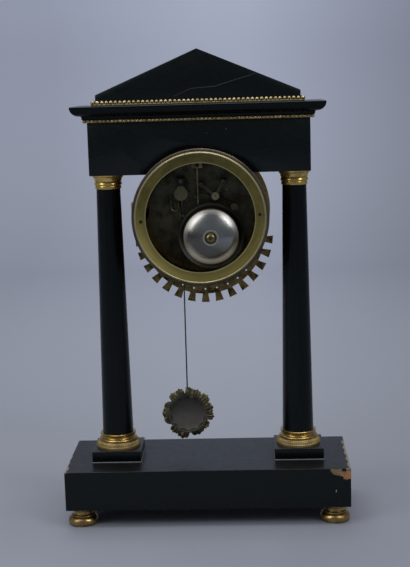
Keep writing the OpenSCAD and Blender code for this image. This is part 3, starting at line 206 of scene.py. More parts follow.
def slab(low, high, edge, step, fine=((), (), ()), push=None, skip=None):
    """A box with rounded edges on a grid; push moves single points, skip leaves cells out."""
    axes = [lines(low[i], high[i], edge, step, fine[i]) for i in range(3)]
    verts, faces = [], []

    def rounded(p):
        inner = [min(max(p[i], low[i] + edge), high[i] - edge) for i in range(3)]
        out = Vector([p[i] - inner[i] for i in range(3)])
        if out.length > 1e-9:
            out = out.normalized() * edge
        q = Vector(inner) + out
        return tuple(push(q)) if push else tuple(q)

    for fixed in range(3):
        u, v = [i for i in range(3) if i != fixed]
        for value in (low[fixed], high[fixed]):
            base = len(verts)
            for a in axes[u]:
                for b in axes[v]:
                    p = [0.0, 0.0, 0.0]
                    p[fixed], p[u], p[v] = value, a, b
                    verts.append(rounded(p))
            width = len(axes[v])
            for i in range(len(axes[u]) - 1):
                for j in range(width - 1):
                    k = base + i * width + j
                    corners = (k, k + 1, k + width + 1, k + width)
                    centre = sum((Vector(verts[c]) for c in corners), Vector()) / 4
                    if not (skip and skip(centre)):
                        faces.append(corners)
    return verts, faces


def prism_y(outline, low, high):
    """An outline in X and Z drawn out along Y."""
    n = len(outline)
    verts = [(x, low, z) for x, z in outline] + [(x, high, z) for x, z in outline]
    faces = [tuple(range(n)), tuple(range(2 * n - 1, n - 1, -1))]
    faces += [(i, (i + 1) % n, (i + 1) % n + n, i + n) for i in range(n)]
    return verts, faces


def paint(obj, material, test):
    """Gives the faces that pass a test another material."""
    obj.data.materials.append(material)
    for face in obj.data.polygons:
        if test(face):
            face.material_index = len(obj.data.materials) - 1


def soften(obj, width, steps=2, angle=38.0):
    """Rounds the sharp edges of a piece."""
    form = bmesh.new()
    form.from_mesh(obj.data)
    edges = [e for e in form.edges if e.is_manifold and e.calc_face_angle() > math.radians(angle)]
    bmesh.ops.bevel(form, geom=edges, offset=width * MM, segments=steps, profile=0.5, affect="EDGES",
                    clamp_overlap=True)
    bmesh.ops.recalc_face_normals(form, faces=form.faces)
    form.to_mesh(obj.data)
    form.free()
    obj.data.shade_smooth()
    obj.data.set_sharp_from_angle(angle=math.radians(SHARP))


def frame_moulding(half_x, half_y, z, profile):
    """A moulding of offset and height round a rectangle, mitred, with closed top and bottom."""
    verts, faces = [], []
    for out, h in profile:
        for sx, sy in CORNERS:
            verts.append((sx * (half_x + out), sy * (half_y + out), z + h))
    for k in range(len(profile) - 1):
        for i in range(4):
            j = (i + 1) % 4
            faces.append((4 * k + i, 4 * k + j, 4 * k + 4 + j, 4 * k + 4 + i))
    last = 4 * (len(profile) - 1)
    faces.append((3, 2, 1, 0))
    faces.append((last, last + 1, last + 2, last + 3))
    return verts, faces


def ball(x, y, z, r, rings=8, segments=12):
    """A round bead."""
    turns = [math.pi * i / rings for i in range(rings + 1)]
    profile = [(r * math.sin(t), -r * math.cos(t)) for t in turns]
    return upright(lathe(profile, segments), x, y, z)


def share_between(value, start, end):
    """0 before start, 1 past end, and even between them."""
    return min(1.0, max(0.0, (value - start) / (end - start)))


# Node helpers


def surface(name):
    """A new material with its node tree and its shader."""
    material = bpy.data.materials.new(name)
    material.use_nodes = True
    return material, material.node_tree, material.node_tree.nodes["Principled BSDF"]


def place_in(tree, scale=(1, 1, 1), offset=(0, 0, 0)):
    """Place on the object."""
    coords = tree.nodes.new("ShaderNodeTexCoord")
    mapping = tree.nodes.new("ShaderNodeMapping")
    mapping.inputs["Location"].default_value = offset
    mapping.inputs["Scale"].default_value = scale
    tree.links.new(coords.outputs["Object"], mapping.inputs["Vector"])
    return mapping.outputs["Vector"]


def split_xyz(tree, vector):
    """The X, Y and Z of a vector."""
    node = tree.nodes.new("ShaderNodeSeparateXYZ")
    tree.links.new(vector, node.inputs["Vector"])
    return node.outputs


def normal_xyz(tree):
    """The X, Y and Z of the direction that a surface faces."""
    return split_xyz(tree, tree.nodes.new("ShaderNodeNewGeometry").outputs["Normal"])


def noise(tree, vector, scale, detail=4.0, rough=0.55):
    """Cloudy noise from 0 to 1."""
    tex = tree.nodes.new("ShaderNodeTexNoise")
    tex.inputs["Scale"].default_value = scale
    tex.inputs["Detail"].default_value = detail
    tex.inputs["Roughness"].default_value = rough
    tree.links.new(vector, tex.inputs["Vector"])
    return tex.outputs["Fac"]


def span(tree, value, low, high, out_low=0.0, out_high=1.0):
    """A value from low to high as a value from out_low to out_high."""
    node = tree.nodes.new("ShaderNodeMapRange")
    node.inputs["From Min"].default_value = low
    node.inputs["From Max"].default_value = high
    node.inputs["To Min"].default_value = out_low
    node.inputs["To Max"].default_value = out_high
    tree.links.new(value, node.inputs["Value"])
    return node.outputs["Result"]


def math_node(tree, kind, *values):
    """One step of arithmetic on numbers and sockets."""
    node = tree.nodes.new("ShaderNodeMath")
    node.operation = kind
    for socket, value in zip(node.inputs, values):
        if isinstance(value, (int, float)):
            socket.default_value = value
        else:
            tree.links.new(value, socket)
    return node.outputs[0]


def times(tree, a, b):
    """Product of two numbers or sockets."""
    return math_node(tree, "MULTIPLY", a, b)


def plus(tree, a, b):
    """Sum of two numbers or sockets."""
    return math_node(tree, "ADD", a, b)


def mix(tree, share, a, b):
    """Tone a where the share is 0, tone b where it is 1."""
    node = tree.nodes.new("ShaderNodeMix")
    node.data_type = "RGBA"
    for socket, value in ((node.inputs[0], share), (node.inputs[6], a), (node.inputs[7], b)):
        if isinstance(value, tuple):
            socket.default_value = value + (1.0,)
        else:
            tree.links.new(value, socket)
    return node.outputs[2]


def blotch(tree, clouds, a, b, low=0.3, high=0.7):
    """Two tones in soft patches."""
    return mix(tree, span(tree, clouds, low, high), a, b)


def dress(tree, shader, tone, rough, metallic=0.0):
    """Sets a shader's tone and roughness, and how much of a metal it is."""
    tree.links.new(tone, shader.inputs["Base Color"])
    tree.links.new(rough, shader.inputs["Roughness"])
    shader.inputs["Metallic"].default_value = metallic


def bump(tree, shader, height, strength, distance):
    """Fine relief on a surface."""
    node = tree.nodes.new("ShaderNodeBump")
    node.inputs["Strength"].default_value = strength
    node.inputs["Distance"].default_value = distance
    tree.links.new(height, node.inputs["Height"])
    tree.links.new(node.outputs["Normal"], shader.inputs["Normal"])


def about_axis(tree, x, z):
    """Distance in millimetres from an axis along Y, the turn about it, and the place along it."""
    at = split_xyz(tree, place_in(tree, offset=(-x * MM, 0, -z * MM)))
    squares = plus(tree, times(tree, at["X"], at["X"]), times(tree, at["Z"], at["Z"]))
    radius = math_node(tree, "DIVIDE", math_node(tree, "SQRT", squares), MM)
    return radius, math_node(tree, "ARCTAN2", at["Z"], at["X"]), at["Y"]


# Materials


def black_veneer(name, grain, shine):
    """Polished black wood with faint grain, a little dust on top and fine scuffs."""
    material, tree, shader = surface(name)
    fibres = noise(tree, place_in(tree, grain), 900.0, 5.0, 0.6)
    clouds = noise(tree, place_in(tree), 28.0, 3.0)
    base = blotch(tree, fibres, (0.001, 0.0014, 0.0016), (0.0024, 0.003, 0.0034), 0.35)
    upward = span(tree, normal_xyz(tree)["Z"], 0.7, 0.98)
    dust = times(tree, upward, span(tree, clouds, 0.3, 0.7, 0.5, 1.0))
    scuffs = noise(tree, place_in(tree), 160.0, 6.0, 0.7)
    rough = plus(tree, span(tree, scuffs, 0.3, 0.75, 0.22, 0.34), times(tree, dust, 0.08))
    dress(tree, shader, mix(tree, dust, base, (0.005, 0.0055, 0.0063)), rough)
    shader.inputs["Specular IOR Level"].default_value = shine
    shader.inputs["Specular Tint"].default_value = (0.82, 0.96, 0.95, 1.0)
    bump(tree, shader, fibres, 0.05, 0.0002)
    return material


def metal(name, dark, mid, bright, rough_low, rough_high, patch=90.0, pits=0.08, share=1.0):
    """Worn metal between three tones."""
    material, tree, shader = surface(name)
    patches = noise(tree, place_in(tree), patch, 5.0, 0.6)
    fine = noise(tree, place_in(tree), 700.0, 4.0, 0.6)
    worn_tone = blotch(tree, patches, dark, mid, 0.36, 0.56)
    rough = span(tree, patches, 0.35, 0.65, rough_high, rough_low)
    dress(tree, shader, blotch(tree, fine, worn_tone, bright, 0.52, 0.78), rough, share)
    bump(tree, shader, fine, pits, 0.0003)
    return material


def retone(material, share, tone):
    """Lays another tone over a share of a material."""
    tree = material.node_tree
    base = tree.nodes["Principled BSDF"].inputs["Base Color"]
    tree.links.new(mix(tree, share, base.links[0].from_socket, tone), base)


def gild_front(material):
    """Gives a metal a gilt tone where it looks to the front."""
    tree = material.node_tree
    front = span(tree, normal_xyz(tree)["Y"], -0.3, -0.6)
    clouds = noise(tree, place_in(tree), 120.0, 5.0)
    retone(material, front, mix(tree, clouds, (0.3, 0.2, 0.065), (0.6, 0.44, 0.18)))


def steel_beyond(material, x, z, reach):
    """Gives a metal a steel tone beyond a distance from an axis along Y."""
    tree = material.node_tree
    radius = about_axis(tree, x, z)[0]
    clouds = noise(tree, place_in(tree), 120.0, 5.0)
    outside = span(tree, radius, reach, reach + 0.3)
    retone(material, outside, mix(tree, clouds, (0.36, 0.36, 0.34), (0.6, 0.6, 0.58)))


def ring_metal(name):
    """Dull brass with fine rings about the drum's axis, a bright rim and a brown collar; on its face a
    painted highlight low down, painted shade at its top and a painted highlight along the bore's edge.
    """
    material, tree, shader = surface(name)
    radius, turn, depth = about_axis(tree, 0.0, DRUM_Z)
    combined = tree.nodes.new("ShaderNodeCombineXYZ")
    tree.links.new(times(tree, radius, 0.03), combined.inputs["X"])
    tree.links.new(times(tree, turn, 0.08), combined.inputs["Y"])
    tree.links.new(depth, combined.inputs["Z"])
    rings = noise(tree, combined.outputs["Vector"], 60.0, 4.0, 0.65)
    clouds = noise(tree, place_in(tree), 70.0, 5.0, 0.6)
    face = blotch(tree, clouds, (0.108, 0.092, 0.023), (0.168, 0.144, 0.04), 0.36, 0.62)
    face = blotch(tree, rings, face, (0.25, 0.212, 0.07), 0.5, 0.8)
    sine = math_node(tree, "SINE", turn)
    cosine = math_node(tree, "COSINE", turn)
    # Painted highlight: a paler tone on the lower part of the face, stronger towards one lower side.
    painted_highlight = times(tree, span(tree, sine, 0.2, -0.4), span(tree, sine, -1.0, -0.75, 0.45, 1.0))
    painted_highlight = times(tree, painted_highlight, span(tree, radius, 52.0, 57.0, 0.25, 0.75))
    painted_highlight = times(tree, painted_highlight, span(tree, cosine, -0.8, 0.2, 0.3, 1.0))
    # Painted shade: the face darkens towards its top, under the frieze.
    face = mix(tree, span(tree, sine, 0.75, 1.0, 0.0, 0.4), face, (0.05, 0.045, 0.018))
    face = mix(tree, painted_highlight, face, (0.48, 0.395, 0.13))
    # Painted highlight: a paler tone along the bore's edge.
    painted_bore_highlight = span(tree, radius, RING_BORE + 1.2, RING_BORE + 0.3, 0.0, 0.6)
    face = mix(tree, painted_bore_highlight, face, (0.46, 0.42, 0.22))
    rim = mix(tree, clouds, (0.3, 0.27, 0.14), (0.42, 0.39, 0.23))
    collar = blotch(tree, clouds, (0.07, 0.052, 0.04), (0.15, 0.118, 0.095))
    tone = mix(tree, span(tree, radius, RING_RIM - 0.2, RING_RIM + 0.2), face, rim)
    tone = mix(tree, span(tree, radius, RING_COLLAR - 0.1, RING_COLLAR + 0.1), tone, collar)
    dress(tree, shader, tone, span(tree, clouds, 0.35, 0.65, 0.52, 0.4), 0.8)
    bump(tree, shader, rings, 0.08, 0.0002)
    return material


def drum_metal(name):
    """Brown brass outside the drum, dark inside it."""
    material, tree, shader = surface(name)
    radius = about_axis(tree, 0.0, DRUM_Z)[0]
    clouds = noise(tree, place_in(tree), 90.0, 5.0, 0.6)
    outside = blotch(tree, clouds, (0.05, 0.034, 0.016), (0.13, 0.092, 0.044), 0.36, 0.6)
    inside = mix(tree, clouds, (0.06, 0.05, 0.034), (0.13, 0.11, 0.075))
    tone = mix(tree, span(tree, radius, 60.6, 61.0), inside, outside)
    dress(tree, shader, tone, span(tree, clouds, 0.35, 0.65, 0.52, 0.36), 0.9)
    return material


def cock_metal(name, x, z, reach, disc_tones, arm_tones):
    """Dull brass of a cock, brighter on the disc about its axis than on its arms."""
    material, tree, shader = surface(name)
    radius = about_axis(tree, x, z)[0]
    clouds = noise(tree, place_in(tree), 160.0)
    disc = mix(tree, clouds, *disc_tones)
    arms = mix(tree, clouds, *arm_tones)
    tone = mix(tree, span(tree, radius, reach, reach + 0.3), disc, arms)
    dress(tree, shader, tone, span(tree, clouds, 0.3, 0.7, 0.5, 0.65), 0.6)
    return material


def bell_metal(name):
    """Grey steel: a polished dome with painted shade on one side, a painted reflection of the brass ring
    browning its edge and painted light on its lower edge (paler and less metal there), and a darker flare
    with painted shade towards its top.
    """
    material, tree, shader = surface(name)
    radius, turn = about_axis(tree, BELL_X, BELL_Z)[:2]
    height = times(tree, radius, math_node(tree, "SINE", turn))
    # Painted shade: one side of the dome is darkened.
    leaned = plus(tree, turn, math.radians(60.0))
    painted_shade_side = times(tree, radius, math_node(tree, "COSINE", leaned))
    clouds = noise(tree, place_in(tree), 55.0)
    dome = blotch(tree, clouds, (0.35, 0.355, 0.35), (0.415, 0.418, 0.41))
    dome = mix(tree, span(tree, painted_shade_side, -6.0, 8.0), dome, (0.14, 0.134, 0.116))
    # Painted reflection: the dome's edge is browned as if it mirrored the brass ring.
    painted_ring_reflection = span(tree, radius, DOME_R - 5.0, DOME_R - 0.5, 0.0, 0.7)
    dome = mix(tree, painted_ring_reflection, dome, (0.45, 0.41, 0.37))
    # Painted light from below: the lower edge of the dome is paler and less metal.
    painted_low_light = times(tree, span(tree, radius, DOME_R - 8.0, DOME_R - 4.0), span(tree, height, -4.0, -16.0))
    outer = span(tree, radius, DOME_R - 4.0, DOME_R)
    dome = mix(tree, painted_low_light, dome, mix(tree, outer, (0.68, 0.63, 0.54), (0.5, 0.46, 0.37)))
    flare = blotch(tree, clouds, (0.1, 0.1, 0.092), (0.2, 0.2, 0.18))
    # Painted shade: the flare darkens towards its top.
    flare = mix(tree, span(tree, height, -16.0, 4.0), flare, (0.035, 0.035, 0.03))
    polish = span(tree, clouds, 0.3, 0.7, 0.17, 0.23)
    dulled = span(tree, radius, DOME_R - 5.5, DOME_R - 0.5, 0.0, 0.32)
    flared = span(tree, radius, DOME_R - 0.4, DOME_R + 0.4)
    dress(tree, shader, mix(tree, flared, dome, flare), plus(tree, polish, dulled))
    tree.links.new(span(tree, painted_low_light, 0.0, 1.0, 1.0, 0.1), shader.inputs["Metallic"])
    return material


def plain(name, tone_a, tone_b, rough, scale=60.0):
    """A quiet surface between two close tones."""
    material, tree, shader = surface(name)
    clouds = noise(tree, place_in(tree), scale)
    uneven = span(tree, clouds, 0.3, 0.7, rough * 0.9, rough * 1.15)
    dress(tree, shader, blotch(tree, clouds, tone_a, tone_b), uneven)
    return material


def dish_metal(name):
    """Dark hollow of the bob with painted light: paler towards the bottom, where the hollow's lower slope
    faces up, and darker towards the top.
    """
    material, tree, shader = surface(name)
    clouds = noise(tree, place_in(tree), 70.0, 5.0)
    dark = blotch(tree, clouds, (0.02, 0.018, 0.016), (0.036, 0.033, 0.029))
    # Painted light: the paler tone that the lower part of the hollow takes.
    painted_light_below = blotch(tree, clouds, (0.06, 0.054, 0.048), (0.098, 0.089, 0.079))
    height = split_xyz(tree, place_in(tree))["Z"]
    low = span(tree, height, (BOB_Z + 11.0) * MM, (BOB_Z - 8.0) * MM)
    dress(tree, shader, mix(tree, low, dark, painted_light_below), span(tree, clouds, 0.3, 0.7, 0.5, 0.65))
    return material


def base_metal(name, reeded_top):
    """Gilt of the column bases: polished mouldings above a matt reeded roll."""
    material, tree, shader = surface(name)
    clouds = noise(tree, place_in(tree), 110.0, 5.0, 0.6)
    polished = blotch(tree, clouds, (0.36, 0.235, 0.07), (0.54, 0.38, 0.13), 0.36, 0.6)
    matt = blotch(tree, clouds, (0.26, 0.19, 0.08), (0.39, 0.3, 0.145), 0.36, 0.6)
    height = split_xyz(tree, place_in(tree))["Z"]
    low = span(tree, height, (reeded_top + 0.3) * MM, reeded_top * MM)
    rough = plus(tree, span(tree, clouds, 0.35, 0.65, 0.32, 0.22), times(tree, low, 0.3))
    dress(tree, shader, mix(tree, low, polished, matt), rough, 0.95)
    return material


def leaf_metal(name):
    """Darkened back of the bob's leaves, with worn gilt left in patches, most of it at the tips."""
    material, tree, shader = surface(name)
    radius = about_axis(tree, BOB_X, BOB_Z)[0]
    patches = noise(tree, place_in(tree), 120.0, 5.0, 0.6)
    fine = noise(tree, place_in(tree), 380.0, 4.0, 0.6)
    dark = blotch(tree, patches, (0.02, 0.021, 0.016), (0.09, 0.083, 0.045), 0.36, 0.6)
    worn_share = plus(tree, fine, span(tree, radius, 18.0, 25.0, -0.13, 0.05))
    tone = blotch(tree, worn_share, dark, (0.36, 0.29, 0.14), 0.5, 0.66)
    dress(tree, shader, tone, span(tree, patches, 0.35, 0.65, 0.6, 0.44), 0.7)
    bump(tree, shader, fine, 0.1, 0.0004)
    return material


def chip_wood(name):
    """Bare wood, orange-brown at the plinth's end and paler away from it."""
    material, tree, shader = surface(name)
    clouds = noise(tree, place_in(tree), 190.0, 5.0)
    pale = blotch(tree, clouds, (0.11, 0.08, 0.04), (0.24, 0.18, 0.1))
    brown = blotch(tree, clouds, (0.26, 0.11, 0.04), (0.46, 0.23, 0.1))
    across = split_xyz(tree, place_in(tree))["X"]
    inward = span(tree, across, (7.0 - PLINTH.x) * MM, (11.0 - PLINTH.x) * MM)
    dress(tree, shader, mix(tree, inward, brown, pale), span(tree, clouds, 0.3, 0.7, 0.55, 0.75))
    return material


def clear_glass(name):
    """Glass with a faint tint and slight smears."""
    material, tree, shader = surface(name)
    clouds = noise(tree, place_in(tree), 12.0, 2.0)
    tint = mix(tree, clouds, (0.95, 0.98, 0.97), (0.99, 1.0, 1.0))
    dress(tree, shader, tint, span(tree, clouds, 0.3, 0.7, 0.0, 0.03))
    shader.inputs["Transmission Weight"].default_value = 1.0
    shader.inputs["IOR"].default_value = 1.45
    return material


ALONG, UP = (0.08, 1, 1), (1, 1, 0.06)
REEDED_TOP = 6.4
black = black_veneer("black_veneer", ALONG, 0.35)
black_shaft = black_veneer("black_veneer_upright", UP, 0.24)
black_top = black_veneer("black_veneer_top", ALONG, 0.24)
black_moulding = black_veneer("black_veneer_moulding", ALONG, 0.2)
gilt = metal("gilt_bronze", (0.34, 0.225, 0.075), (0.49, 0.345, 0.125), (0.64, 0.49, 0.24), 0.24, 0.36,
             pits=0.03)
gilt_base = base_metal("gilt_base", BASE_Z + REEDED_TOP)
gilt_foot = metal("gilt_foot", (0.24, 0.15, 0.065), (0.43, 0.305, 0.11), (0.6, 0.46, 0.22), 0.24, 0.4,
                  130.0, 0.04)
# Painted light: a brighter copy of the gilt for the capitals, making up for the shade under the frieze.
gilt_painted_bright = metal("gilt_painted_bright", (0.45, 0.31, 0.085), (0.78, 0.56, 0.165), (0.95, 0.78, 0.4), 0.2, 0.3,
                  pits=0.02, share=0.85)
gilt_bead = metal("gilt_beads", (0.2, 0.16, 0.085), (0.4, 0.335, 0.19), (0.62, 0.55, 0.36), 0.3, 0.46,
                  160.0, 0.05)
gilt_dull = metal("gilt_dull", (0.24, 0.18, 0.08), (0.52, 0.41, 0.2), (0.7, 0.58, 0.32), 0.3, 0.46,
                  160.0, 0.05)
ring_brass = ring_metal("ring_brass")
drum_brass = drum_metal("drum_brass")
ray_brass = metal("ray_brass", (0.04, 0.028, 0.011), (0.2, 0.145, 0.055), (0.36, 0.27, 0.11), 0.36, 0.54,
                  140.0)
cock_brass = cock_metal("cock_brass", BOB_X, HANG_Z, 7.2, ((0.1, 0.09, 0.045), (0.19, 0.17, 0.09)),
                        ((0.012, 0.011, 0.008), (0.03, 0.027, 0.018)))
# Painted highlight: the brighter disc about the hammer's arbor.
hammer_brass = cock_metal("hammer_brass", HAMMER_X, HAMMER_Z, 3.3,
                          ((0.15, 0.135, 0.08), (0.34, 0.31, 0.19)),
                          ((0.04, 0.036, 0.024), (0.085, 0.077, 0.05)))
nut_brass = metal("nut_brass", (0.1, 0.082, 0.036), (0.22, 0.18, 0.085), (0.5, 0.43, 0.22), 0.22, 0.36)
old_brass = metal("old_brass", (0.035, 0.031, 0.018), (0.08, 0.071, 0.038), (0.16, 0.14, 0.08), 0.42, 0.6)
plate_dark = metal("plate_dark", (0.045, 0.041, 0.027), (0.09, 0.083, 0.055), (0.15, 0.138, 0.092),
                   0.44, 0.62)
wheel_brass = metal("wheel_brass", (0.2, 0.15, 0.055), (0.38, 0.3, 0.12), (0.5, 0.42, 0.2), 0.3, 0.45)
steel = metal("steel", (0.14, 0.13, 0.12), (0.36, 0.35, 0.34), (0.55, 0.54, 0.53), 0.24, 0.4, 120.0)
old_steel = metal("old_steel", (0.03, 0.03, 0.024), (0.08, 0.078, 0.064), (0.17, 0.165, 0.145), 0.36, 0.54,
                  120.0)
dark_steel = metal("dark_steel", (0.006, 0.006, 0.006), (0.014, 0.014, 0.014), (0.03, 0.03, 0.03), 0.4, 0.6,
                   share=0.4)
bell_steel = bell_metal("bell_steel")
bell_brass = metal("bell_brass", (0.12, 0.1, 0.045), (0.28, 0.23, 0.11), (0.5, 0.43, 0.22), 0.26, 0.42)
bob_gilt = leaf_metal("bob_gilt")
bob_dark = dish_metal("bob_dark")
blued = metal("blued_steel", (0.012, 0.014, 0.03), (0.02, 0.026, 0.06), (0.05, 0.06, 0.12), 0.2, 0.34)
glass = clear_glass("bezel_glass")
enamel = plain("dial_enamel", (0.78, 0.76, 0.69), (0.84, 0.82, 0.76), 0.18)
numeral_black = plain("numeral_black", (0.012, 0.012, 0.014), (0.025, 0.025, 0.028), 0.35)
screw_black = plain("screw_black", (0.002, 0.002, 0.002), (0.006, 0.006, 0.005), 0.8)
bare_wood = chip_wood("bare_wood")
worn_edge = plain("worn_edge", (0.1, 0.085, 0.065), (0.22, 0.195, 0.155), 0.7, 220.0)
joint_dust = plain("joint_dust", (0.13, 0.135, 0.14), (0.2, 0.205, 0.21), 0.8, 200.0)
scratch = plain("scratch", (0.035, 0.036, 0.038), (0.07, 0.072, 0.075), 0.7, 200.0)
speck_grey = plain("speck_grey", (0.1, 0.1, 0.1), (0.2, 0.2, 0.2), 0.7, 300.0)
nick_white = plain("nick_white", (0.3, 0.3, 0.29), (0.5, 0.5, 0.48), 0.7, 300.0)

for two_toned in (ray_brass, bob_gilt):
    gild_front(two_toned)
NUT_R = 5.8
steel_beyond(nut_brass, BELL_X, BELL_Z, NUT_R)

FINISH = (
    (black_shaft, ("column_shaft_left", "column_shaft_right")),
    (gilt, ("bezel_seat", "bezel_door")),
    (ring_brass, ("back_ring",)),
    (drum_brass, ("drum", "hinge_pin")),
    (ray_brass, ("rayed_collar",)),
    (cock_brass, ("suspension_cock",)),
    (hammer_brass, ("hammer_cock",)),
    (nut_brass, ("bell_nut",)),
    (old_brass, ("front_plate", "plate_pillars", "hammer", "bell_stand")),
    (plate_dark, ("back_plate",)),
    (wheel_brass, ("minute_wheel", "hour_wheel", "center_wheel", "third_wheel", "escape_wheel")),
    (wheel_brass, ("going_barrel", "strike_barrel", "strike_wheel", "fly", "dial_feet", "hand_nut")),
    (steel, ("cannon_pinion", "anchor")),
    (old_steel, ("cock_screws", "pendulum_rod")),
    (dark_steel, ("straps", "drum_screws", "tie_rods", "tie_rod_nuts")),
    (bell_brass, ("hammer_spring", "steady_hook")),
    (blued, ("hour_hand", "minute_hand")),
    (glass, ("bezel_glass",)),
    (enamel, ("dial",)),
    (screw_black, ("strap_screws",)),
)
for material, nodes in FINISH:
    for node in nodes:
        mesh = frame["nodes"][node].data
        mesh.materials.clear()
        mesh.materials.append(material)


# Plinth

HOLLOW = Vector((100.0, 30.0, 43.0))
VENEER = 0.9
CHIP_END, CHIP_TAPER = 20.5, 3.5
CHIP_CORNER, CHIP_DEEP, CHIP_BESIDE = 7.0, 10.3, 8.1
KEPT_END, KEPT_STRIP = 8.5, 2.6
WORN_DOWN = 1.2


def chip_height(from_end):
    """Height of the lost veneer on the back, by the distance from the plinth's end."""
    deep = CHIP_DEEP if from_end < CHIP_CORNER else CHIP_BESIDE - 0.3 * (from_end - CHIP_CORNER)
    ragged = 0.4 * math.sin(2.1 * from_end) + 0.25 * math.sin(5.3 * from_end + 1.0)
    return (deep + ragged) * share_between(from_end, CHIP_END, CHIP_END - CHIP_TAPER)


def chipped(p):
    """Whether the veneer of the back is lost at a place on the plinth."""
    from_end = p.x + PLINTH.x
    kept = KEPT_STRIP if from_end < KEPT_END else 0.0
    near_back = PLINTH.y - p.y < 1.5 + 0.4 * math.sin(p.x)
    return near_back and kept < PLINTH.z - p.z < chip_height(from_end)


def edge_worn(p):
    """Whether the top edge of an end is worn at a place on the plinth."""
    ripple = math.sin(0.35 * p.y + 0.4) + 0.7 * math.sin(0.9 * p.y + 0.8)
    down = PLINTH.z - p.z
    if p.x < 0:
        from_end = p.x + PLINTH.x
        corner = PLINTH.y - p.y < 1.5 and from_end < 4.5 and down < KEPT_STRIP
        return corner or (from_end < 2.1 + 0.7 * ripple and down < WORN_DOWN and p.y > -36.0)
    wide = 0.7 + 0.5 * ripple + 1.5 * share_between(p.y, 22.0, 38.0)
    return PLINTH.x - p.x < wide and down < WORN_DOWN and p.y > 0.0


def on_top(p):
    """Whether a place is on the plinth's top."""
    return p.z > PLINTH.z - 0.3


def lose_veneer(p):
    """Sinks the places where veneer is lost."""
    if not (chipped(p) or edge_worn(p)):
        return p
    q = p.copy()
    if PLINTH.z - p.z < 1.3:
        q.z -= 0.5 * VENEER
    if PLINTH.y - p.y < 1.0:
        q.y -= VENEER
    return q


def under_hollow(p):
    """Whether a cell lies in the opening under the plinth."""
    return p.z < PLINTH_LOW + 0.1 and abs(p.x) < HOLLOW.x and abs(p.y) < HOLLOW.y


def hollow_box():
    """Walls and ceiling of the hollow under the plinth."""
    verts = [(sx * HOLLOW.x, sy * HOLLOW.y, z) for z in (PLINTH_LOW, HOLLOW.z) for sx, sy in CORNERS]
    return verts, [(4, 5, 6, 7)] + [(i, (i + 1) % 4, (i + 1) % 4 + 4, i + 4) for i in range(4)]


PLINTH_FINE = (
    [(-PLINTH.x, 22.0 - PLINTH.x, 0.5), (-HOLLOW.x, HOLLOW.x, 20.0), (PLINTH.x - 4.0, PLINTH.x, 0.5)],
    [(2.0 - PLINTH.y, PLINTH.y - 2.0, 1.0), (-HOLLOW.y, HOLLOW.y, 10.0), (PLINTH.y - 3.0, PLINTH.y, 0.5)],
    [(PLINTH.z - 12.0, PLINTH.z, 0.5)],
)
plinth_form = slab((-PLINTH.x, -PLINTH.y, PLINTH_LOW), PLINTH, edge=0.8, step=9.0, fine=PLINTH_FINE,
                   push=lose_veneer, skip=under_hollow)
plinth = piece("plinth_box", *join(plinth_form, hollow_box()), "case", black, "black_wood",
               nodes=("plinth",))
for material, test in ((black_top, on_top), (worn_edge, edge_worn), (bare_wood, chipped)):
    paint(plinth, material, lambda face: test(face.center / MM))


# Feet, columns, frieze, cornice and pediment

SIDES = (("left", -COLUMN_X), ("right", COLUMN_X))
EDGE_ROUND = 0.5
TIE_BORE = 5.0
REEDS, REED_DEPTH = 66, 0.9
REED_LOW, REED_HIGH, REED_R = 2.5, 6.2, 17.5

joint_profile = [(-0.5, 0.0), (0.35, 0.0), (0.3, 0.45), (-0.1, 0.8)]
joint_form = frame_moulding(PEDESTAL, PEDESTAL, PLINTH.z, joint_profile)
for side, x in SIDES:
    low, high = (x - PEDESTAL, -PEDESTAL, PLINTH.z), (x + PEDESTAL, PEDESTAL, BASE_Z)
    block = slab(low, high, edge=EDGE_ROUND, step=8.0)
    piece("pedestal_" + side + "_block", *block, "case", black, "black_wood", nodes=("pedestal_" + side,))
    piece("pedestal_" + side + "_joint", *upright(joint_form, x, 0, 0), "case", joint_dust, "black_wood")

base_profile = [(TIE_BORE, 0.0), (21.3, 0.0), (21.5, 0.2), (21.5, 2.2), (21.3, 2.4)]
base_profile += arc(17.1, 2.4, 4.2, 0, 84, 12)
base_profile += arc(17.2, 7.7, 1.3, -60, 90, 10)
base_profile += [(16.3, 9.25), (15.85, 9.9), (15.75, 10.7), (15.9, 11.4), (16.4, 12.0), (17.1, 12.35)]
base_profile += [(17.25, 12.6), (17.25, 13.7), (16.95, 14.0), (TIE_BORE, 14.0)]


def reeding(turn, r, h):
    """Shallow upright reeds round the base's roll."""
    if not (REED_LOW < h < REED_HIGH and r > REED_R):
        return 0.0
    depth = min(1.0, REED_HIGH - h, (h - REED_LOW) / 0.5)
    return -REED_DEPTH * depth * (0.5 + 0.5 * math.cos(REEDS * turn)) ** 1.5


capital_profile = [(TIE_BORE, 0.0), (12.2, 0.0), (12.4, 0.25), (12.4, 0.5), (12.3, 2.9), (12.2, 3.2)]
capital_profile += [(11.9, 3.45)] + arc(12.35, 4.5, 0.85, -80, 15, 8)
capital_profile += [(12.9, 5.6), (12.62, 6.55), (12.45, 6.8), (12.05, 6.95), (12.05, 7.1), (12.6, 7.25)]
capital_profile += [(12.85, 7.45)] + [(12.9 + 1.7 * (t / 10) ** 2, 7.7 + 3.6 * t / 10) for t in range(11)]
capital_profile += [(14.5, 11.45), (14.25, 11.6), (14.25, 11.8), (15.2, 11.95), (15.4, 12.2), (15.4, 13.3)]
capital_profile += [(15.1, 13.6), (TIE_BORE, 13.6)]
for side, x in SIDES:
    base_form = upright(lathe(base_profile, 432, wave=reeding), x, 0, BASE_Z)
    piece("column_base_" + side + "_turned", *base_form, "case", gilt_base, "gilt_bronze", 40.0,
          ("column_base_" + side,))
    capital_form = upright(lathe(capital_profile, 120), x, 0, CAPITAL_Z)
    piece("capital_" + side + "_turned", *capital_form, "case", gilt_painted_bright, "gilt_bronze", 40.0,
          ("capital_" + side,))

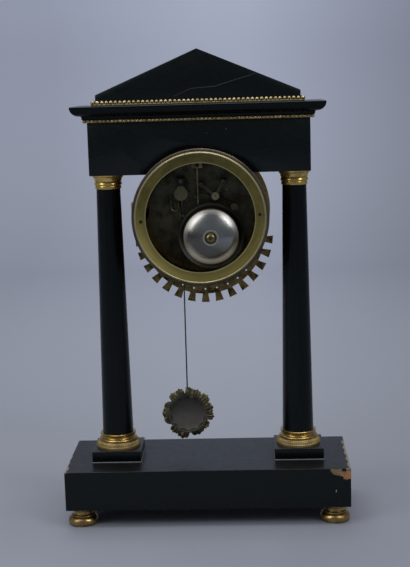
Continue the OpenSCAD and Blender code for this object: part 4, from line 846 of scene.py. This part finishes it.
foot_profile = [(0.0, 0.0), (12.9, 0.0)] + arc(9.0, 3.4, 5.4, -38, 70, 18)
foot_profile += arc(10.6, 9.15, 0.7, -60, 90, 8)
foot_profile += [(9.6, 9.9), (9.1, 10.3), (8.9, 11.2), (8.8, 12.4), (8.95, 13.6), (9.6, 14.3)]
foot_profile += [(10.8, 14.55), (11.0, 14.8), (11.0, 16.6), (10.7, PLINTH_LOW), (0.0, PLINTH_LOW)]
for depth_name, y in (("front", -FOOT_Y), ("back", FOOT_Y)):
    for side, x in (("left", -FOOT_X), ("right", FOOT_X)):
        name = "foot_" + depth_name + "_" + side
        piece(name + "_turned", *upright(lathe(foot_profile, 96), x, y, 0), "case", gilt_foot,
              "gilt_bronze", 40.0, (name,))

ARCH_R, ARCH_SPRING = 61.6, 40.03
EAVES_Z = GABLE_LOW + 10.2
frieze_outline = [(-FRIEZE_X, FRIEZE_LOW)]
frieze_outline += arc(0.0, DRUM_Z, ARCH_R, 180.0 - ARCH_SPRING, ARCH_SPRING, 60)
frieze_outline += [(FRIEZE_X, FRIEZE_LOW), (FRIEZE_X, FRIEZE_TOP), (-FRIEZE_X, FRIEZE_TOP)]
frieze = piece("frieze_block", *prism_y(frieze_outline, -FRIEZE_Y, FRIEZE_Y), "case", black, "black_wood",
               nodes=("frieze",))
soften(frieze, EDGE_ROUND)

cornice_profile = [(3.9, 0.0), (4.2, 0.25), (4.2, 1.9), (4.35, 2.25), (4.7, 2.75), (5.2, 3.1)]
cornice_profile += [(5.4 + 8.6 * math.sin(math.radians(t)), 3.2 + 8.0 * (1 - math.cos(math.radians(t))))
                    for t in range(0, 91, 6)]
cornice_profile += [(14.0, 11.6), (13.6, 12.0)]
cornice_form = frame_moulding(FRIEZE_X, FRIEZE_Y, FRIEZE_TOP, cornice_profile)
piece("cornice_moulding", *cornice_form, "case", black_moulding, "black_wood", 30.0, ("cornice",))

gable = [(-GABLE_X, GABLE_LOW), (GABLE_X, GABLE_LOW), (GABLE_X, EAVES_Z), (0.0, GABLE_TOP),
         (-GABLE_X, EAVES_Z)]
pediment = piece("pediment_block", *prism_y(gable, -GABLE_Y, GABLE_Y), "case", black, "black_wood",
                 nodes=("pediment",))
soften(pediment, EDGE_ROUND)


# Bead strips

SIZE_SCATTER = (0.95, 1.04)
PLACE_SCATTER = (-0.08, 0.08)


def bead_row(name, half_x, half_y, z, r, count_x, count_y, strip, material, node):
    """Beads side by side round a rectangle, on a flat strip."""
    forms = [strip]
    spots = []
    for i in range(count_x + 1):
        x = -half_x + 2 * half_x * i / count_x
        spots += [(x, half_y), (x, -half_y)]
    for i in range(1, count_y):
        y = -half_y + 2 * half_y * i / count_y
        spots += [(half_x, y), (-half_x, y)]
    for x, y in spots:
        size = r * rng.uniform(*SIZE_SCATTER)
        forms.append(ball(x + rng.uniform(*PLACE_SCATTER), y + rng.uniform(*PLACE_SCATTER), z, size))
    return piece(name, *join(*forms), "case", material, "gilt_bronze", 50.0, (node,))


def flat_strip(half_x, half_y, z, out, height, edge):
    """A flat strip round a rectangle with narrow bevels, its back in the wood's face."""
    low, high = edge
    profile = [(0.2, 0.0), (out - low, 0.0), (out, low)]
    profile += [(out, height - high), (out - high, height), (0.2, height)]
    return frame_moulding(half_x, half_y, z, profile)


LOWER_STRIP, LOWER_OUT, LOWER_BEAD_R = 2.9, 2.2, 1.7
UPPER_STRIP, UPPER_OUT, UPPER_BEAD_R = 1.8, 2.0, 2.0
lower_strip = flat_strip(FRIEZE_X, FRIEZE_Y, FRIEZE_TOP - LOWER_STRIP, 1.7, LOWER_STRIP, (0.2, 0.2))
bead_row("lower_beads", FRIEZE_X + LOWER_OUT, FRIEZE_Y + LOWER_OUT, FRIEZE_TOP - 1.6, LOWER_BEAD_R, 56, 14,
         lower_strip, gilt_dull, "lower_bead_strip")
upper_strip = flat_strip(GABLE_X, GABLE_Y, GABLE_LOW, 3.6, UPPER_STRIP, (0.2, 0.3))
bead_row("upper_beads", GABLE_X + UPPER_OUT, GABLE_Y + UPPER_OUT, GABLE_LOW + 2.9, UPPER_BEAD_R, 46, 12,
         upper_strip, gilt_bead, "upper_bead_strip")


# Marks of age on the back, at places in X and Z

PROUD, SUNK = 0.03, 0.3
CRACK = [(21.5, 403.0), (6.0, 409.5), (-16.0, 411.0), (-35.0, 416.5), (-48.5, 420.0), (-53.0, 422.0)]
RING_MARKS = ((-16.3, 236.7, 0.55), (56.4, 288.1, 0.5), (-58.6, 293.8, 0.5))
SPECKS = ((-7.8, 368.7, 0.35, 0.4), (-25.4, 372.0, 0.4, 0.35))
NICK = (-121.0, 33.2, 0.5, 1.3)
RING_BORE_Y, RING_DISH = 39.6, 0.209


def crack_line():
    """A hairline crack across the pediment's back."""
    verts, faces = [], []
    for i, (x, z) in enumerate(CRACK):
        half = 0.08 + 0.12 * math.sin(math.pi * (i + 0.3) / len(CRACK))
        verts += [(x, GABLE_Y + PROUD, z - half), (x, GABLE_Y + PROUD, z + half)]
    for i in range(len(CRACK) - 1):
        faces.append((2 * i, 2 * i + 1, 2 * i + 3, 2 * i + 2))
    return verts, faces


def flake(y, x, z, width, height):
    """A small lost flake on a face that looks to the back."""
    turns = [2 * math.pi * i / 9 for i in range(9)]
    edge = [(x + width * math.cos(t) * (0.8 + 0.2 * math.sin(3 * t)), z + height * math.sin(t))
            for t in turns]
    return prism_y(edge, y - SUNK, y + PROUD)


def ring_face_y(x, z):
    """Place along Y of the back ring's dished face."""
    return RING_BORE_Y + RING_DISH * (math.hypot(x, z - DRUM_Z) - RING_BORE)


ring_marks = [flake(ring_face_y(x, z) + 0.1, x, z, size, size) for x, z, size in RING_MARKS]
piece("ring_marks", *join(*ring_marks), "case", dark_steel, "aged_brass")
piece("pediment_crack", *crack_line(), "case", scratch, "black_wood")
piece("plinth_nick", *flake(PLINTH.y, *NICK), "case", nick_white, "black_wood")
frieze_specks = [flake(FRIEZE_Y, *speck) for speck in SPECKS]
piece("frieze_specks", *join(*frieze_specks), "case", speck_grey, "black_wood")


# Bell

BELL_TOP, BELL_RIM = cad_box("bell")[1][1], cad_box("bell")[0][1]
BELL_R = round(cad_box("bell")[1][0] - BELL_X, 3)
BELL_WALL, BELL_LIP, BELL_BORE = 1.3, 1.2, 1.6
DOME_TILT, SHOULDER_R = 33, 1.7
DOME_ARC = (DOME_R - SHOULDER_R) / math.sin(math.radians(DOME_TILT)) + SHOULDER_R
SHOULDER_Y = BELL_TOP - (DOME_ARC - SHOULDER_R) * (1 - math.cos(math.radians(DOME_TILT))) - SHOULDER_R


def bell_edge(inset):
    """Half section of the bell's skin: shallow dome, rounded shoulder and flared rim."""
    rows = [(BELL_BORE, BELL_TOP - inset)]
    rows += arc(0.0, BELL_TOP - DOME_ARC, DOME_ARC - inset, 86, 90 - DOME_TILT, 24)
    rows += arc(DOME_R - SHOULDER_R, SHOULDER_Y, SHOULDER_R - inset, 90 - DOME_TILT, 0, 10)[1:]
    for step in range(1, 11):
        turn = math.radians(9 * step)
        reach = (BELL_R - DOME_R + inset) * math.cos(turn)
        rows.append((BELL_R - reach, SHOULDER_Y - (SHOULDER_Y - BELL_RIM) * math.sin(turn)))
    return rows


bell_profile = bell_edge(0.0) + [(BELL_R - BELL_LIP, BELL_RIM)] + bell_edge(BELL_WALL)[-2::-1]
bell_form = along_y(lathe(bell_profile, 144, loop=True), BELL_X, BELL_Z)
piece("bell_shell", *bell_form, "case", bell_steel, "bell_steel", 45.0, ("bell",))


# Bob of the pendulum

# Leaves: angle from the top towards -X, reach, and half of the angle that the leaf takes
LEAVES = [(5, 25.8, 11), (24, 25.4, 12), (49, 26.4, 14), (77, 25.4, 15), (99, 25.9, 11),
          (125, 24.2, 12), (153, 24.2, 19), (194, 26.4, 16), (219, 24.8, 13), (271, 25.0, 33),
          (321, 25.6, 12), (340, 25.8, 11)]
LEAF_FOOT, LEAF_START, LEAF_SCALLOP = 20.0, 16.4, 0.7
LEAF_RIB, LEAF_DROOP = 0.55, 1.2
LEAF_THICK, LEAF_THINNING = 1.6, 0.7


def leaf_edge(turn):
    """Reach and rib of the leafy border at a turn: each leaf ends in three round lobes."""
    best, rib = LEAF_FOOT, 0.0
    for angle, reach, half in LEAVES:
        off = (turn - math.radians(90 + angle) + math.pi) % (2 * math.pi) - math.pi
        aside = off / math.radians(half)
        if abs(aside) < 1.0:
            lobes = math.cos(3 * math.pi * aside)
            edge = LEAF_FOOT + (reach - LEAF_FOOT) * (1 - aside ** 2) ** 0.4 * (0.9 + 0.1 * lobes)
            if edge > best:
                best, rib = edge, 0.5 + 0.5 * lobes
    return best, rib


def leaf_border(around=468, rings=9):
    """Leafy border of the bob, with a raised rib in each lobe."""
    verts, faces = [], []
    for face in (0, 1):
        for i in range(around):
            turn = 2 * math.pi * i / around
            reach, rib = leaf_edge(turn)
            start = LEAF_START + LEAF_SCALLOP * math.cos(len(LEAVES) * turn)
            for k in range(rings):
                t = k / (rings - 1)
                r = start + (reach - start) * t
                raised = LEAF_RIB * rib * math.sin(math.pi * min(1.0, t * 1.2))
                y = BOB_Y - 0.5 + raised - LEAF_DROOP * t * t - face * (LEAF_THICK - LEAF_THINNING * t)
                verts.append((BOB_X + r * math.cos(turn), y, BOB_Z + r * math.sin(turn)))
    half = around * rings
    for i in range(around):
        j = (i + 1) % around
        for k in range(rings - 1):
            a, b = i * rings + k, j * rings + k
            faces.append((a, b, b + 1, a + 1))
            faces.append((half + a, half + a + 1, half + b + 1, half + b))
        faces.append((i * rings, half + i * rings, half + j * rings, j * rings))
        a, b = i * rings + rings - 1, j * rings + rings - 1
        faces.append((a, b, half + b, half + a))
    return verts, faces


def bowl(r, rim_y, depth):
    """Half section of a bowl that opens to the back, from its axis to its rim."""
    turns = [math.radians(t) for t in range(0, 91, 5)]
    return [(r * math.sin(t), rim_y - depth * math.cos(t)) for t in turns]


piece("bob_leaves", *leaf_border(), "pendulum", bob_gilt, "gilt_bronze", 50.0, ("pendulum_bob",))
dish_profile = bowl(17.6, BOB_Y - 0.4, 3.7) + [(17.6, BOB_Y - 0.35), (18.1, BOB_Y - 0.3)]
dish_profile += bowl(18.4, BOB_Y - 0.1, BOB_DEPTH)[::-1]
dish_form = along_y(lathe(dish_profile, 96), BOB_X, BOB_Z)
dish = piece("bob_dish", *dish_form, "pendulum", bob_dark, "gilt_bronze", 45.0)
paint(dish, gilt, lambda face: face.normal.y < -0.2)
socket_profile = [(0.0, 17.4), (1.6, 17.4), (1.7, 17.6), (1.7, 25.2), (1.5, 25.6), (0.7, 25.6)]
socket_form = upright(lathe(socket_profile, 32), BOB_X, ROD_Y, BOB_Z)
piece("bob_socket", *socket_form, "pendulum", bob_gilt, "gilt_bronze", 45.0)


# Dial

HOURS = ("XII", "I", "II", "III", "IIII", "V", "VI", "VII", "VIII", "IX", "X", "XI")
NUMERAL_FOOT, NUMERAL_HIGH, SERIF = 35.0, 8, 0.35
TRACK_LOW, TRACK_HIGH, TRACK_LINE = 46.4, 48.6, 0.3
INK_FRONT, INK_BACK, INK_STEP = DIAL_Y - 0.06, DIAL_Y + 0.1, 0.003


def bar(x, wide, low, high):
    """An upright or level bar of a numeral."""
    return [(x, low), (x + wide, low), (x + wide, high), (x, high)]


def slope(top, top_wide, foot, foot_wide):
    """A sloping stroke of a numeral."""
    return [(top, NUMERAL_HIGH), (top + top_wide, NUMERAL_HIGH), (foot + foot_wide, 0), (foot, 0)]


def strokes(text):
    """Strokes of a Roman numeral as outlines, with its width."""
    out, x = [], 0.0
    foot, head = (0.0, SERIF), (NUMERAL_HIGH - SERIF, NUMERAL_HIGH)
    for letter in text:
        if letter == "I":
            out += [bar(x + 0.3, 1.0, 0, NUMERAL_HIGH)]
            out += [bar(x - 0.1, 1.8, *end) for end in (foot, head)]
            x += 2.0
        elif letter == "V":
            out += [slope(x, 1.2, x + 2.0, 0.6), slope(x + 4.1, 0.4, x + 2.2, 0.4)]
            out += [bar(x - 0.3, 1.9, *head), bar(x + 3.5, 1.4, *head)]
            x += 5.0
        else:
            out += [slope(x, 1.2, x + 3.2, 1.2), slope(x + 3.8, 0.4, x + 0.2, 0.4)]
            out += [bar(x + a, 1.7, *end) for a in (-0.2, 2.8) for end in (foot, head)]
            x += 4.8
    return out, x


def on_dial(points, degrees):
    """Points about the dial's centre, turned clockwise as seen from the front."""
    turn = -math.radians(degrees)
    c, s = math.cos(turn), math.sin(turn)
    return [(x * c - z * s, x * s + z * c + DRUM_Z) for x, z in points]


def numerals():
    """Twelve Roman numerals and a minute track on the dial's front."""
    forms = []
    for hour, text in enumerate(HOURS):
        shapes, width = strokes(text)
        for level, shape in enumerate(shapes):
            points = [(x - width / 2 + 0.2, z + NUMERAL_FOOT) for x, z in shape]
            forms.append(prism_y(on_dial(points, 30 * hour), INK_FRONT - INK_STEP * level, INK_BACK))
    for minute in range(60):
        half = 0.45 if minute % 5 == 0 else 0.2
        points = bar(-half, 2 * half, TRACK_LOW, TRACK_HIGH)
        forms.append(prism_y(on_dial(points, 6 * minute), INK_FRONT, INK_BACK))
    for low in (TRACK_LOW - TRACK_LINE, TRACK_HIGH):
        ring = bar(low, TRACK_LINE, INK_FRONT + 0.01, INK_BACK)
        forms.append(along_y(lathe(ring, 180, loop=True), 0.0, DRUM_Z))
    return join(*forms)


piece("dial_numerals", *numerals(), "case", numeral_black, "dial_enamel", 30.0)


# Paper sweep, in metres

WALL_Y, WALL_TOP, SWEEP_R = -2.0, 3.4, 0.5
FLOOR_END, HALF_WIDTH = 4.0, 4.5
FLOOR_DROP = 0.00002
PAPER_FAR = (0.56, 0.61, 0.755)
SHADE = (0.0, 0.0, 0.0)


def paper(name):
    """Grey-blue paper with painted light and shade: paler far away and up the wall, and darker to both
    sides and more so to one side.
    """
    material, tree, shader = surface(name)
    at = split_xyz(tree, place_in(tree))
    reach = tree.nodes.new("ShaderNodeVectorMath")
    reach.operation = "LENGTH"
    tree.links.new(place_in(tree), reach.inputs[0])
    clouds = noise(tree, place_in(tree), 3.0, 2.0)
    tone = mix(tree, clouds, (0.208, 0.224, 0.275), (0.216, 0.232, 0.283))
    # Painted light: the paper pales with distance and up the wall.
    tone = mix(tree, span(tree, reach.outputs["Value"], 0.2, 3.2), tone, PAPER_FAR)
    tone = mix(tree, span(tree, at["Z"], 0.05, 0.6), tone, PAPER_FAR)
    # Painted shade: darker to both sides, and more towards negative X.
    both_sides = span(tree, math_node(tree, "ABSOLUTE", at["X"]), 0.05, 0.45, 0.0, 0.2)
    one_side = span(tree, at["X"], -0.05, -0.5, 0.0, 0.15)
    tone = mix(tree, plus(tree, both_sides, one_side), tone, SHADE)
    tree.links.new(tone, shader.inputs["Base Color"])
    shader.inputs["Roughness"].default_value = 0.85
    return material


turns = [math.radians(t) for t in range(6, 91, 6)]
sweep_profile = [(FLOOR_END, 0.0), (WALL_Y + SWEEP_R, 0.0)]
sweep_profile += [(WALL_Y + SWEEP_R * (1 - math.sin(t)), SWEEP_R * (1 - math.cos(t))) for t in turns]
sweep_profile += [(WALL_Y, WALL_TOP)]
rows = len(sweep_profile)
sweep_verts = [(x, y, z - FLOOR_DROP) for x in (-HALF_WIDTH, HALF_WIDTH) for y, z in sweep_profile]
sweep_faces = [(i, i + 1, rows + i + 1, rows + i) for i in range(rows - 1)]
sweep = bpy.data.meshes.new("paper_sweep")
sweep.from_pydata(sweep_verts, [], sweep_faces)
sweep.shade_smooth()
sweep.materials.append(paper("floor_paper"))
floor = bpy.data.objects.new("paper_sweep", sweep)
bpy.context.scene.collection.objects.link(floor)
floor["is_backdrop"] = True


# Light, in metres

world = bpy.data.worlds.new("studio")
bpy.context.scene.world = world
world.use_nodes = True
background = world.node_tree.nodes["Background"]
background.inputs["Color"].default_value = (0.82, 0.89, 1.0, 1.0)
background.inputs["Strength"].default_value = 0.17


def softbox(name, position, target, long_side, size, power, tone):
    """A flat lamp that faces a target, turned so that its width runs along long_side."""
    back = (Vector(position) - Vector(target)).normalized()
    side = Vector(long_side)
    side = (side - back * side.dot(back)).normalized()
    lamp = bpy.data.lights.new(name, "AREA")
    lamp.shape = "RECTANGLE"
    lamp.size, lamp.size_y = size
    lamp.energy = power
    lamp.color = tone
    obj = bpy.data.objects.new(name, lamp)
    turned = Matrix((side, back.cross(side), back)).transposed().to_4x4()
    obj.matrix_world = Matrix.Translation(position) @ turned
    bpy.context.scene.collection.objects.link(obj)


softbox("softbox_top", (0.0, 0.05, 2.2), (0, 0.05, 0), (1, 0, 0), (2.6, 1.2), 37.0, (1.0, 0.99, 0.97))
softbox("softbox_front", (0.35, -1.0, 1.95), (0, 0, 0.25), (1, 0, 0), (1.3, 0.8), 11.0, (1.0, 0.99, 0.97))
softbox("softbox_left", (1.1, 0.95, 1.2), (0, 0, 0.27), (0.64, 0, -0.77), (1.5, 0.6), 9.0,
        (1.0, 0.98, 0.96))
softbox("softbox_right", (-1.08, 0.95, 1.24), (0, 0, 0.27), (0.67, 0, 0.74), (1.0, 0.55), 8.0,
        (1.0, 0.98, 0.97))


# Camera, solved from the photo's corners

PHOTO_HIGH, FOCAL_PIXELS = 567.0, 1200.0
SENSOR = 36.0
CAMERA_AT = (-45.474, 1133.473, 415.107)
YAW, PITCH, ROLL = math.radians(2.239), math.radians(9.536), math.radians(-1.615)


def camera_turn():
    """Turn of a camera that looks to the front from the back at no yaw, pitch or roll."""
    yawed = Matrix.Rotation(YAW, 3, "Z")
    ahead, right, up = yawed @ Vector((0, -1, 0)), yawed @ Vector((-1, 0, 0)), Vector((0, 0, 1))
    look = math.cos(PITCH) * ahead - math.sin(PITCH) * up
    above = math.sin(PITCH) * ahead + math.cos(PITCH) * up
    across = math.cos(ROLL) * right + math.sin(ROLL) * above
    top = -math.sin(ROLL) * right + math.cos(ROLL) * above
    return Matrix((across, top, -look)).transposed().to_4x4()


camera_data = bpy.data.cameras.new("camera")
camera_data.sensor_width = SENSOR
camera_data.lens = FOCAL_PIXELS * SENSOR / PHOTO_HIGH
camera_data.clip_start = 0.05
camera = bpy.data.objects.new("camera", camera_data)
bpy.context.scene.collection.objects.link(camera)
camera.matrix_world = Matrix.Translation(Vector(CAMERA_AT) * MM) @ camera_turn()
bpy.context.scene.camera = camera
bpy.context.scene.view_settings.view_transform = "Standard"

low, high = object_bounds()
